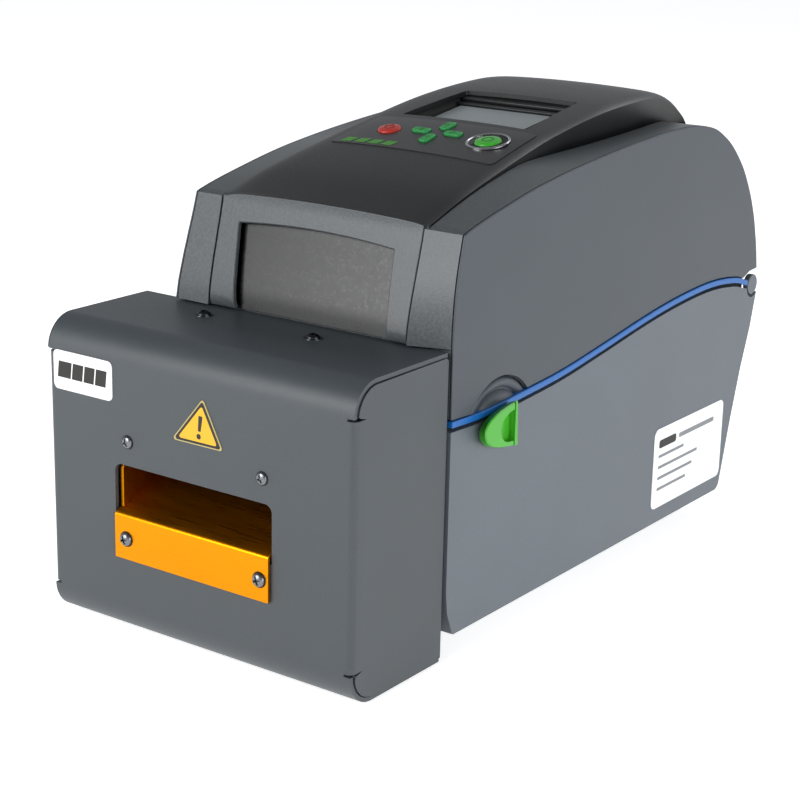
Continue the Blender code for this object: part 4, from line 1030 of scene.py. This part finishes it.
        dressed(placed(ring, SHAPE.on_panel(x, y)), "feed_key_ring",
                Dress(SILVER_RING, "cover", "steel", ("feed_button_ring",)))
        # near-black disc under the ring: painted shade in the recess round the feed key
        well = turned([(0, 0.32), (7.2, 0.32), (7.2, 0.42), (5.3, 0.42), (5.3, 0.36), (0, 0.36)], 64)
        dressed(placed(well, SHAPE.on_panel(x, y)), "feed_key_shade_well",
                Dress(SHADOW_ABS, "cover", "panel_plastic"))

    def display(self) -> None:
        """Bay with sloping walls, a ledge at the rear and the grey display window."""
        seat = SHAPE.on_panel(0, 108)
        top = [(-28.2, -20.3), (28.2, -20.3), (25.0, 20.4), (-25.0, 20.4)]
        foot = [(-26.0, -19.0), (26.0, -19.0), (24.0, 12.5), (-24.0, 12.5)]
        bm = bmesh.new()
        rim = [bm.verts.new((u, v, -1.5 - 0.5 * abs(u) / 28)) for u, v in top]
        floor = [bm.verts.new((u, v, -5.0)) for u, v in foot]
        for i in range(4):
            j = (i + 1) % 4
            bm.faces.new((rim[i], rim[j], floor[j], floor[i]))
        bm.faces.new(floor)
        bmesh.ops.recalc_face_normals(bm, faces=bm.faces)
        base = min(bm.faces, key=lambda face: face.calc_center_median().z)
        if base.normal.z < 0:
            bmesh.ops.reverse_faces(bm, faces=bm.faces)
        bmesh.ops.solidify(bm, geom=bm.faces[:], thickness=1.0)
        dressed(placed(bm, seat), "display_bay", Dress(SHADOW_ABS, "cover", "panel_plastic",
                                                       ("display_bezel",), 0.3))
        for name, y, z in (("display_ledge_low", 12.4, -3.6), ("display_ledge_high", 15.8, -2.4)):
            ledge = cuboid((-23.8, 23.8), (y - 1.0, y + 1.0), (z - 1.6, z), 0.4)
            dressed(placed(ledge, seat), name, Dress(PANEL_ABS, "cover", "panel_plastic"))
        glass = prism(rounded_box((-20.6, 20.6), (-10.4, 9.4), 0.8), Axis.Z, -4.95, -4.1)
        dressed(placed(glass, seat), "display_window",
                Dress(SCREEN, "cover", "screen_glass", ("display_screen",), 0.2))

    def build(self) -> None:
        """Make every piece of the panel."""
        self.hood()
        self.keypad()
        self.key_caps()
        self.display()


# ---------------------------------------------------------------- cutter module

@dataclass
class CutterCover:
    """Folded sheet box: bent wrap, front plate with side flanges, slits and stickers."""

    x: Point = (-75.8, 58.3)
    front: float = -51.9
    rear: float = -1.5
    z: Point = (1.0, 111.0)
    sheet: float = 1.5
    bend: float = 11.6
    corner: float = 2.4
    slits: Point = (13.6, 98.9)
    slit_height: float = 0.9
    slot_x: Point = (-44.8, 25.0)
    slot_z: Point = (44.0, 64.3)

    def profile(self, inset: float, rear: float) -> list[Point]:
        """Side view of the box, moved inwards by an inset."""
        radius = self.bend - inset
        low, high = self.z[0] + inset, self.z[1] - inset
        return fillet([(self.front + inset, low, radius), (rear, low, 0), (rear, high, 0),
                       (self.front + inset, high, radius)], 16)

    def wrap(self) -> None:
        """Top and bottom sheets with their large bends."""
        limits = (self.x[0] + 0.5, self.x[1] - 0.5)
        wrap = solid_object("wrap", prism(self.profile(0, self.rear), Axis.X, *limits))
        cutters = [prism(self.profile(self.sheet, 10), Axis.X, -90, 90),
                   cuboid((-90, 90), (-60, self.front + 6.0), self.slits)]
        for x in self.x:
            for z in (self.slits[0] - self.slit_height, self.slits[1]):
                cutters.append(cuboid((x - 3.2, x + 3.2), (-60, -40), (z, z + self.slit_height)))
        dressed(carved(wrap, *cutters), "cutter_wrap",
                Dress(POWDER_GREY, slot="painted_steel", replaces=("cutter_cover",)))

    def plate(self) -> None:
        """Front plate round the chute's slot, its upright edges bent back into flanges."""
        front, wall, back = self.front, self.sheet, self.front + 6.0
        low, high = self.slits
        sill, lintel = self.slot_z
        inner = (self.x[0] + self.corner, self.x[1] - self.corner)
        depth = (front, front + wall)
        pieces = [cuboid(inner, depth, (low, sill)), cuboid(inner, depth, (lintel, high)),
                  cuboid((inner[0], self.slot_x[0]), depth, (sill, lintel)),
                  cuboid((self.slot_x[1], inner[1]), depth, (sill, lintel))]
        for side, edge, hub, slot in ((-1, self.x[0], inner[0], self.slot_x[0]),
                                      (1, self.x[1], inner[1], self.slot_x[1])):
            centre, turn = (hub, front + self.corner), 270 + 90 * side
            bend = (arc(centre, self.corner, 270, turn, 8) + [(edge, back), (edge - side * wall, back)]
                    + arc(centre, self.corner - wall, turn, 270, 8))
            web = [(slot, lintel)] + arc((slot - side * 3, lintel - 3), 3, 90, 90 - 90 * side, 8)
            pieces += [prism(bend, Axis.Z, low, high), prism(web, Axis.Y, *depth)]
        dressed(merged(*pieces), "cutter_plate", Dress(POWDER_GREY, slot="painted_steel"))

    def sides(self) -> None:
        """Side flanges, cut back round the large bends and at the slits."""
        start = self.front + 6.0
        low, high = self.slits
        inner = self.front + 2.6
        lower = arc((self.front + self.bend, self.z[0] + self.bend), 9.7, 180, 270, 14)
        upper = arc((self.front + self.bend, self.z[1] - self.bend), 9.7, 90, 180, 14)
        outline = ([(start, high), (start, low)] + [(inner, low - 0.9)] + lower[1:]
                   + [(self.rear, self.z[0] + 1.6), (self.rear, self.z[1] - 2.6),
                      (self.rear - 1.0, self.z[1] - 1.6)] + upper[:-1] + [(inner, high + 0.9)])
        for x, word in ((self.x[0], "left"), (self.x[1], "right")):
            limits = (x, x + self.sheet) if x < 0 else (x - self.sheet, x)
            dressed(prism(outline, Axis.X, *limits), f"cutter_side_{word}",
                    Dress(POWDER_GREY, slot="painted_steel"))
        # thin near-black strip along the left edge of the wrap: painted shade on the side plate's
        # edge, not a seal
        trim = prism(self.profile(0.0, self.rear), Axis.X, self.x[0], self.x[0] + 0.5)
        edge = solid_object("edge", trim)
        carved(edge, prism(self.profile(1.6, 10), Axis.X, -90, 90),
               cuboid((-90, 90), (-60, 10), (-5, self.slits[1] + 1.2)))
        dressed(edge, "cutter_edge_shade", Dress(EDGE_SHADE, slot="rubber"))

    def badge(self) -> None:
        """White badge with four plain slanted bars in place of a mark."""
        face = self.front
        plate = prism(rounded_box((-72.9, -45.2), (86.0, 100.0), 2.0), Axis.Y, face - 0.3, face - 0.02)
        dressed(plate, "badge_film", Dress(WHITE_FILM, slot="white_label", replaces=("badge_label",)))
        for i, (x, width) in enumerate(((-71.0, 6.2), (-64.2, 5.0), (-58.6, 4.8), (-53.2, 5.0))):
            outline = [(x, 90.4), (x + width, 90.4), (x + width + 0.7, 96.2), (x + 0.7, 96.2)]
            bar = prism(outline, Axis.Y, face - 0.36, face - 0.28)
            dressed(bar, f"badge_bar_{i + 1}", Dress(PRINT_BLACK, slot="white_label"))

    def triangle(self) -> None:
        """Yellow triangle with a dark border and a plain bar and dot."""
        corners, centre = ((-18.0, 78.4), (4.4, 78.5), (-4.2, 94.9)), Vector((-6.0, 83.9))
        layers = (("hazard_rim", 1.0, EDGE_FILM, 0.30), ("hazard_border", 0.93, PRINT_BLACK, 0.34),
                  ("hazard_field", 0.77, YELLOW_FILM, 0.38))
        for name, share, finish, proud in layers:
            points = [(*(centre + (Vector(corner) - centre) * share), 0.8 * share)
                      for corner in corners]
            bm = prism(fillet(points, 5), Axis.Y, self.front - proud, self.front - 0.02)
            replaced = ("hazard_label",) if name == "hazard_rim" else ()
            dressed(bm, name, Dress(finish, slot="yellow_label", replaces=replaced))
        bar = fillet([(-6.3, 83.4, 0.3), (-5.1, 83.4, 0.3), (-4.2, 88.8, 0.4),
                      (-6.0, 88.8, 0.4)], 4)
        dot = arc((-6.0, 81.6), 0.95, 0, 345, 23)
        mark = merged(prism(bar, Axis.Y, self.front - 0.42, self.front - 0.3),
                      prism(dot, Axis.Y, self.front - 0.42, self.front - 0.3))
        dressed(mark, "hazard_mark", Dress(PRINT_BLACK, slot="yellow_label"))

    def build(self) -> None:
        """Make every piece of the box."""
        self.wrap()
        self.plate()
        self.sides()
        self.badge()
        self.triangle()


@dataclass
class Chute:
    """Gold anodised chute: flange, bright lip, ramp and side cheeks."""

    x: Point = (-44.0, 24.6)
    face: float = -52.2
    sheet: float = 1.2
    foot: float = 30.5
    lip: float = 46.8
    ramp_end: Point = (-27.0, 58.5)

    def build(self) -> None:
        """Make the bent sheet and its two cheeks."""
        rise = atan2(self.ramp_end[1] - self.lip, 25.0)
        under = (self.ramp_end[0] + self.sheet * sin(rise), self.ramp_end[1] - self.sheet * cos(rise))
        outer = self.face - self.sheet
        outline = fillet([(outer, self.foot, 0), (self.face, self.foot, 0), (self.face, 45.4, 0.5),
                          (*under, 0), (*self.ramp_end, 0), (outer, self.lip, 1.5)], 10)
        # thin near-black strip along the fold behind the lip: painted shade in the crease
        fold_z = self.lip + (self.ramp_end[1] - self.lip) * 0.115
        fold = prism([(-48.9, fold_z + 0.25), (-48.4, fold_z + 0.3), (-48.4, fold_z + 0.75),
                      (-48.9, fold_z + 0.55)], Axis.X, self.x[0] + 1.3, self.x[1] - 1.3)
        dressed(fold, "chute_fold_shade", Dress(SHADOW_ABS, slot="gold_aluminium"))
        # near-black roof over the ramp's end: painted shade inside the chute
        roof = [(-50.2, 65.0), (-27.4, 65.0), (-27.4, 60.4), (-26.9, 60.4), (-26.9, 65.8),
                (-50.2, 65.8)]
        dressed(prism(roof, Axis.X, -44.6, 25.2), "chute_roof_shade", Dress(SHADOW_ABS, slot="motor_black"))
        dressed(prism(outline, Axis.X, *self.x), "chute_sheet",
                Dress(GOLD_ANODISED, slot="gold_aluminium", replaces=("cutter_chute",), soft=0.18))
        for low, word in ((self.x[0], "left"), (self.x[1] - self.sheet, "right")):
            cheek = prism(fillet([(-50.0, 47.6, 0), (-27.2, 57.8, 0), (-27.2, 72.0, 0),
                                  (-46.0, 72.0, 2), (-50.0, 62.0, 3)], 6), Axis.X, low,
                          low + self.sheet)
            dressed(cheek, f"chute_cheek_{word}", Dress(GOLD_ANODISED, slot="gold_aluminium",
                                                       soft=0.15))


@dataclass
class Screws:
    """Pan-head screws with a cross recess."""

    shank: float = 1.5
    flange: float = 3.3
    places: dict[str, tuple[str, tuple[float, float, float]]] = field(default_factory=lambda: {
        "front_screw_left": ("-Y", (-38.6, -51.9, 72.8)),
        "front_screw_right": ("-Y", (20.9, -51.9, 72.8)),
        "chute_screw_left": ("-Y", (-38.6, -53.4, 38.1)),
        "chute_screw_right": ("-Y", (20.9, -53.4, 38.1)),
        "top_screw_left": ("Z", (-35.9, -15.5, 111.0)),
        "top_screw_right": ("Z", (12.7, -15.5, 111.0))})

    def build(self) -> None:
        """Make each screw with its recess."""
        for name, (axis, place) in self.places.items():
            head = {"front": 2.15, "chute": 2.5, "top": 2.5}[name.split("_")[0]]
            height = 0.9 if name.startswith("front") else 1.4
            dome = [(head * sin(radians(a)), 0.35 + height * cos(radians(a)))
                    for a in range(0, 91, 10)]
            profile = dome + [(head, 0.05), (self.shank, 0.05), (self.shank, -5.5), (0, -5.5)]
            turn = Matrix.Rotation(radians(90), 4, "X") if axis == "-Y" else Matrix.Identity(4)
            stand = Matrix.Translation(place) @ turn @ Matrix.Rotation(radians(20), 4, "Z")
            screw = solid_object("screw", placed(turned(profile, 48), stand))
            arm, half = head * 0.62, 0.36
            cross = [placed(cuboid((-arm, arm), (-half, half), (0.45, 3.0)), stand),
                     placed(cuboid((-half, half), (-arm, arm), (0.45, 3.0)), stand)]
            finish = BLACK_ZINC if name.startswith("top") else GREY_ZINC
            dressed(carved(screw, *cross), f"{name}_head",
                    Dress(finish, slot="black_screw", replaces=(name,)))
            # top screws sit on a black zinc flange; the others on a thin near-black ring, painted
            # shade of the recess round the head
            ring = self.flange if name.startswith("top") else head + 0.35
            washer_and_shade_ring = placed(turned([(0, 0.02), (ring, 0.02), (ring - 0.1, 0.3), (0, 0.3)], 48), stand)
            dressed(washer_and_shade_ring, f"{name}_washer",
                    Dress(BLACK_ZINC if name.startswith("top") else RECESS_SHADE, slot="black_screw"))


@dataclass
class ServiceLabel:
    """White label low on the right side, with plain grey bars."""

    y: Point = (144.0, 203.0)
    z: Point = (15.5, 49.0)
    corner: float = 3.0
    bars: tuple[tuple[float, float, float, float], ...] = (
        (148.0, 40.6, 14.0, 3.4), (164.5, 41.4, 30.0, 1.9), (148.0, 36.6, 21.0, 1.2),
        (148.0, 32.0, 33.0, 1.2), (148.0, 27.4, 29.0, 1.2), (148.0, 22.8, 24.0, 1.2))

    def build(self) -> None:
        """Make the label and its bars."""
        face = SHAPE.half_width
        plate = prism(rounded_box(self.y, self.z, self.corner), Axis.X, face + 0.02, face + 0.18)
        dressed(plate, "service_film", Dress(WHITE_FILM, slot="white_label",
                                             replaces=("service_label",)))
        for i, (y, z, length, height) in enumerate(self.bars):
            finish = PRINT_BLACK if i == 0 else PRINT_GREY
            bar = prism(rounded_box((y, y + length), (z, z + height), height * 0.3, 3), Axis.X,
                        face + 0.15, face + 0.24)
            dressed(bar, f"service_bar_{i + 1}", Dress(finish, slot="white_label"))


# ---------------------------------------------------------------- inside

@dataclass
class Inside:
    """Kept nodes inside the printer and the cutter, each with its real finish."""

    finishes: dict = field(default_factory=lambda: {
        "chassis_frame": ZINC_STEEL, "cutter_bracket": ZINC_STEEL, "ribbon_frame": ZINC_STEEL,
        "hinge_rod": GROUND_STEEL, "platen_shaft": GROUND_STEEL, "rotary_blade": GROUND_STEEL,
        "fixed_blade": GROUND_STEEL, "printhead": ZINC_STEEL, "media_tray": PANEL_ABS,
        "main_board": BOARD, "drive_motor": MOTOR, "cutter_motor": MOTOR,
        "power_inlet": SHADOW_ABS, "usb_port": ZINC_STEEL, "platen_bush_left": ACETAL,
        "platen_bush_right": ACETAL, "platen_roller": PLATEN_RUBBER, "platen_gear": ACETAL,
        "idler_gear": ACETAL, "motor_pinion": ACETAL, "blade_gear": ACETAL,
        "cutter_pinion": ACETAL, "ribbon_supply_spool": ACETAL, "ribbon_takeup_spool": ACETAL,
        "roll_holder_left": GREEN_ABS, "roll_holder_right": GREEN_ABS})

    def build(self) -> None:
        """Give each kept node its material and the board its parts."""
        for name, finish in self.finishes.items():
            recolour(name, finish)
        chips = ((-36, 30, 12, 12), (-20, 28, 8, 5), (-36, 50, 6, 14), (-22, 44, 10, 10),
                 (-20, 62, 9, 4), (-37, 70, 14, 4))
        for i, (x, y, width, depth) in enumerate(chips):
            chip = cuboid((x, x + width), (y, y + depth), (20.5, 22.0 + 0.8 * (i % 3)), 0.2)
            dressed(chip, f"board_chip_{i + 1}", Dress(CHIP, slot="motor_black"))


# ---------------------------------------------------------------- studio

@dataclass
class Studio:
    """White table, soft lights and the camera."""

    eye: tuple[float, float, float] = (402.47, -509.58, 277.63)
    yaw: float = 0.621
    pitch: float = 0.2899
    roll: float = 0.0226
    lens: float = 87.34

    def camera(self) -> None:
        """Long lens, slightly above the object, at its right front corner."""
        back = Vector((sin(self.yaw) * cos(self.pitch), -cos(self.yaw) * cos(self.pitch),
                       sin(self.pitch)))
        right = (-back).cross(Vector((0, 0, 1))).normalized()
        up = right.cross(-back)
        turned_right = right * cos(self.roll) + up * sin(self.roll)
        turned_up = up * cos(self.roll) - right * sin(self.roll)
        data = bpy.data.cameras.new("camera")
        data.lens, data.sensor_width, data.clip_start, data.clip_end = self.lens, 36.0, 0.01, 50.0
        camera = bpy.data.objects.new("camera", data)
        turn = Matrix((turned_right, turned_up, back)).transposed().to_4x4()
        camera.matrix_world = Matrix.Translation(Vector(self.eye) * MM + ORIGIN) @ turn
        bpy.context.scene.collection.objects.link(camera)
        bpy.context.scene.camera = camera

    def light(self, name: str, place: Point, aim: Point, size: float, power: float) -> None:
        """Square soft light that looks at a point."""
        data = bpy.data.lights.new(name, "AREA")
        data.size, data.energy, data.shape = size, power, "SQUARE"
        lamp = bpy.data.objects.new(name, data)
        way = Vector(aim) - Vector(place)
        lamp.matrix_world = (Matrix.Translation(Vector(place))
                             @ way.to_track_quat("-Z", "Y").to_matrix().to_4x4())
        bpy.context.scene.collection.objects.link(lamp)

    def floor(self) -> None:
        """Wide white table that runs out of sight."""
        bm = bmesh.new()
        bmesh.ops.create_grid(bm, x_segments=1, y_segments=1, size=20.0)
        bmesh.ops.translate(bm, vec=(0, 0, -0.0002), verts=bm.verts)
        mesh = bpy.data.meshes.new("table")
        bm.to_mesh(mesh)
        bm.free()
        table = bpy.data.objects.new("table", mesh)
        bpy.context.scene.collection.objects.link(table)
        white = bpy.data.materials.new("table_white")
        white.use_nodes = True
        shader = white.node_tree.nodes["Principled BSDF"]
        shader.inputs["Base Color"].default_value = (0.9, 0.9, 0.9, 1.0)
        shader.inputs["Roughness"].default_value = 0.9
        shader.inputs["Specular IOR Level"].default_value = 0.1
        shader.inputs["Emission Color"].default_value = (1.0, 1.0, 1.0, 1.0)
        shader.inputs["Emission Strength"].default_value = 0.7
        mesh.materials.append(white)

    def world(self) -> None:
        """White surround to the eye, dimmer as a light."""
        world = bpy.data.worlds.new("studio")
        bpy.context.scene.world = world
        world.use_nodes = True
        tree = world.node_tree
        tree.nodes.clear()
        seen = add(tree, "ShaderNodeBackground", {"Color": (1, 1, 1, 1), "Strength": 1.0})
        way = add(tree, "ShaderNodeTexCoord").outputs["Generated"]
        height = add(tree, "ShaderNodeSeparateXYZ", {0: way}).outputs["Z"]
        glow = add(tree, "ShaderNodeMapRange", {"Value": height, 1: 0.0, 2: 0.75, 3: 0.75, 4: 0.2})
        lit = add(tree, "ShaderNodeBackground", {"Color": (0.93, 0.96, 1, 1),
                                                 "Strength": glow.outputs[0]})
        path = add(tree, "ShaderNodeLightPath")
        mix = add(tree, "ShaderNodeMixShader", {0: path.outputs["Is Camera Ray"],
                                                1: lit.outputs[0], 2: seen.outputs[0]})
        add(tree, "ShaderNodeOutputWorld", {"Surface": mix.outputs[0]})

    def build(self) -> None:
        """Set up the whole studio."""
        bpy.context.scene.view_settings.view_transform = "Standard"
        self.camera()
        self.floor()
        self.world()
        middle = (0.0, 0.0, 0.08)
        self.light("key_front_left", (-0.5, -1.2, 0.55), middle, 0.7, 11.0)
        self.light("fill_right", (1.35, -0.2, 0.35), middle, 0.8, 9.0)
        self.light("top_rear", (0.1, 1.0, 1.2), middle, 0.7, 5.0)


def main() -> None:
    """Build the studio and every sub-assembly in order."""
    Studio().build()
    for part in (LowerCase(), Latch(), Cover(), FrontWindow(), TopPanel(), CutterCover(), Chute(),
                 Screws(), ServiceLabel(), Inside()):
        LOG.info("building %s", type(part).__name__)
        part.build()


if __name__ == "__main__":
    main()
    LOG.info("writing the sizes of the frame and of the finished model")
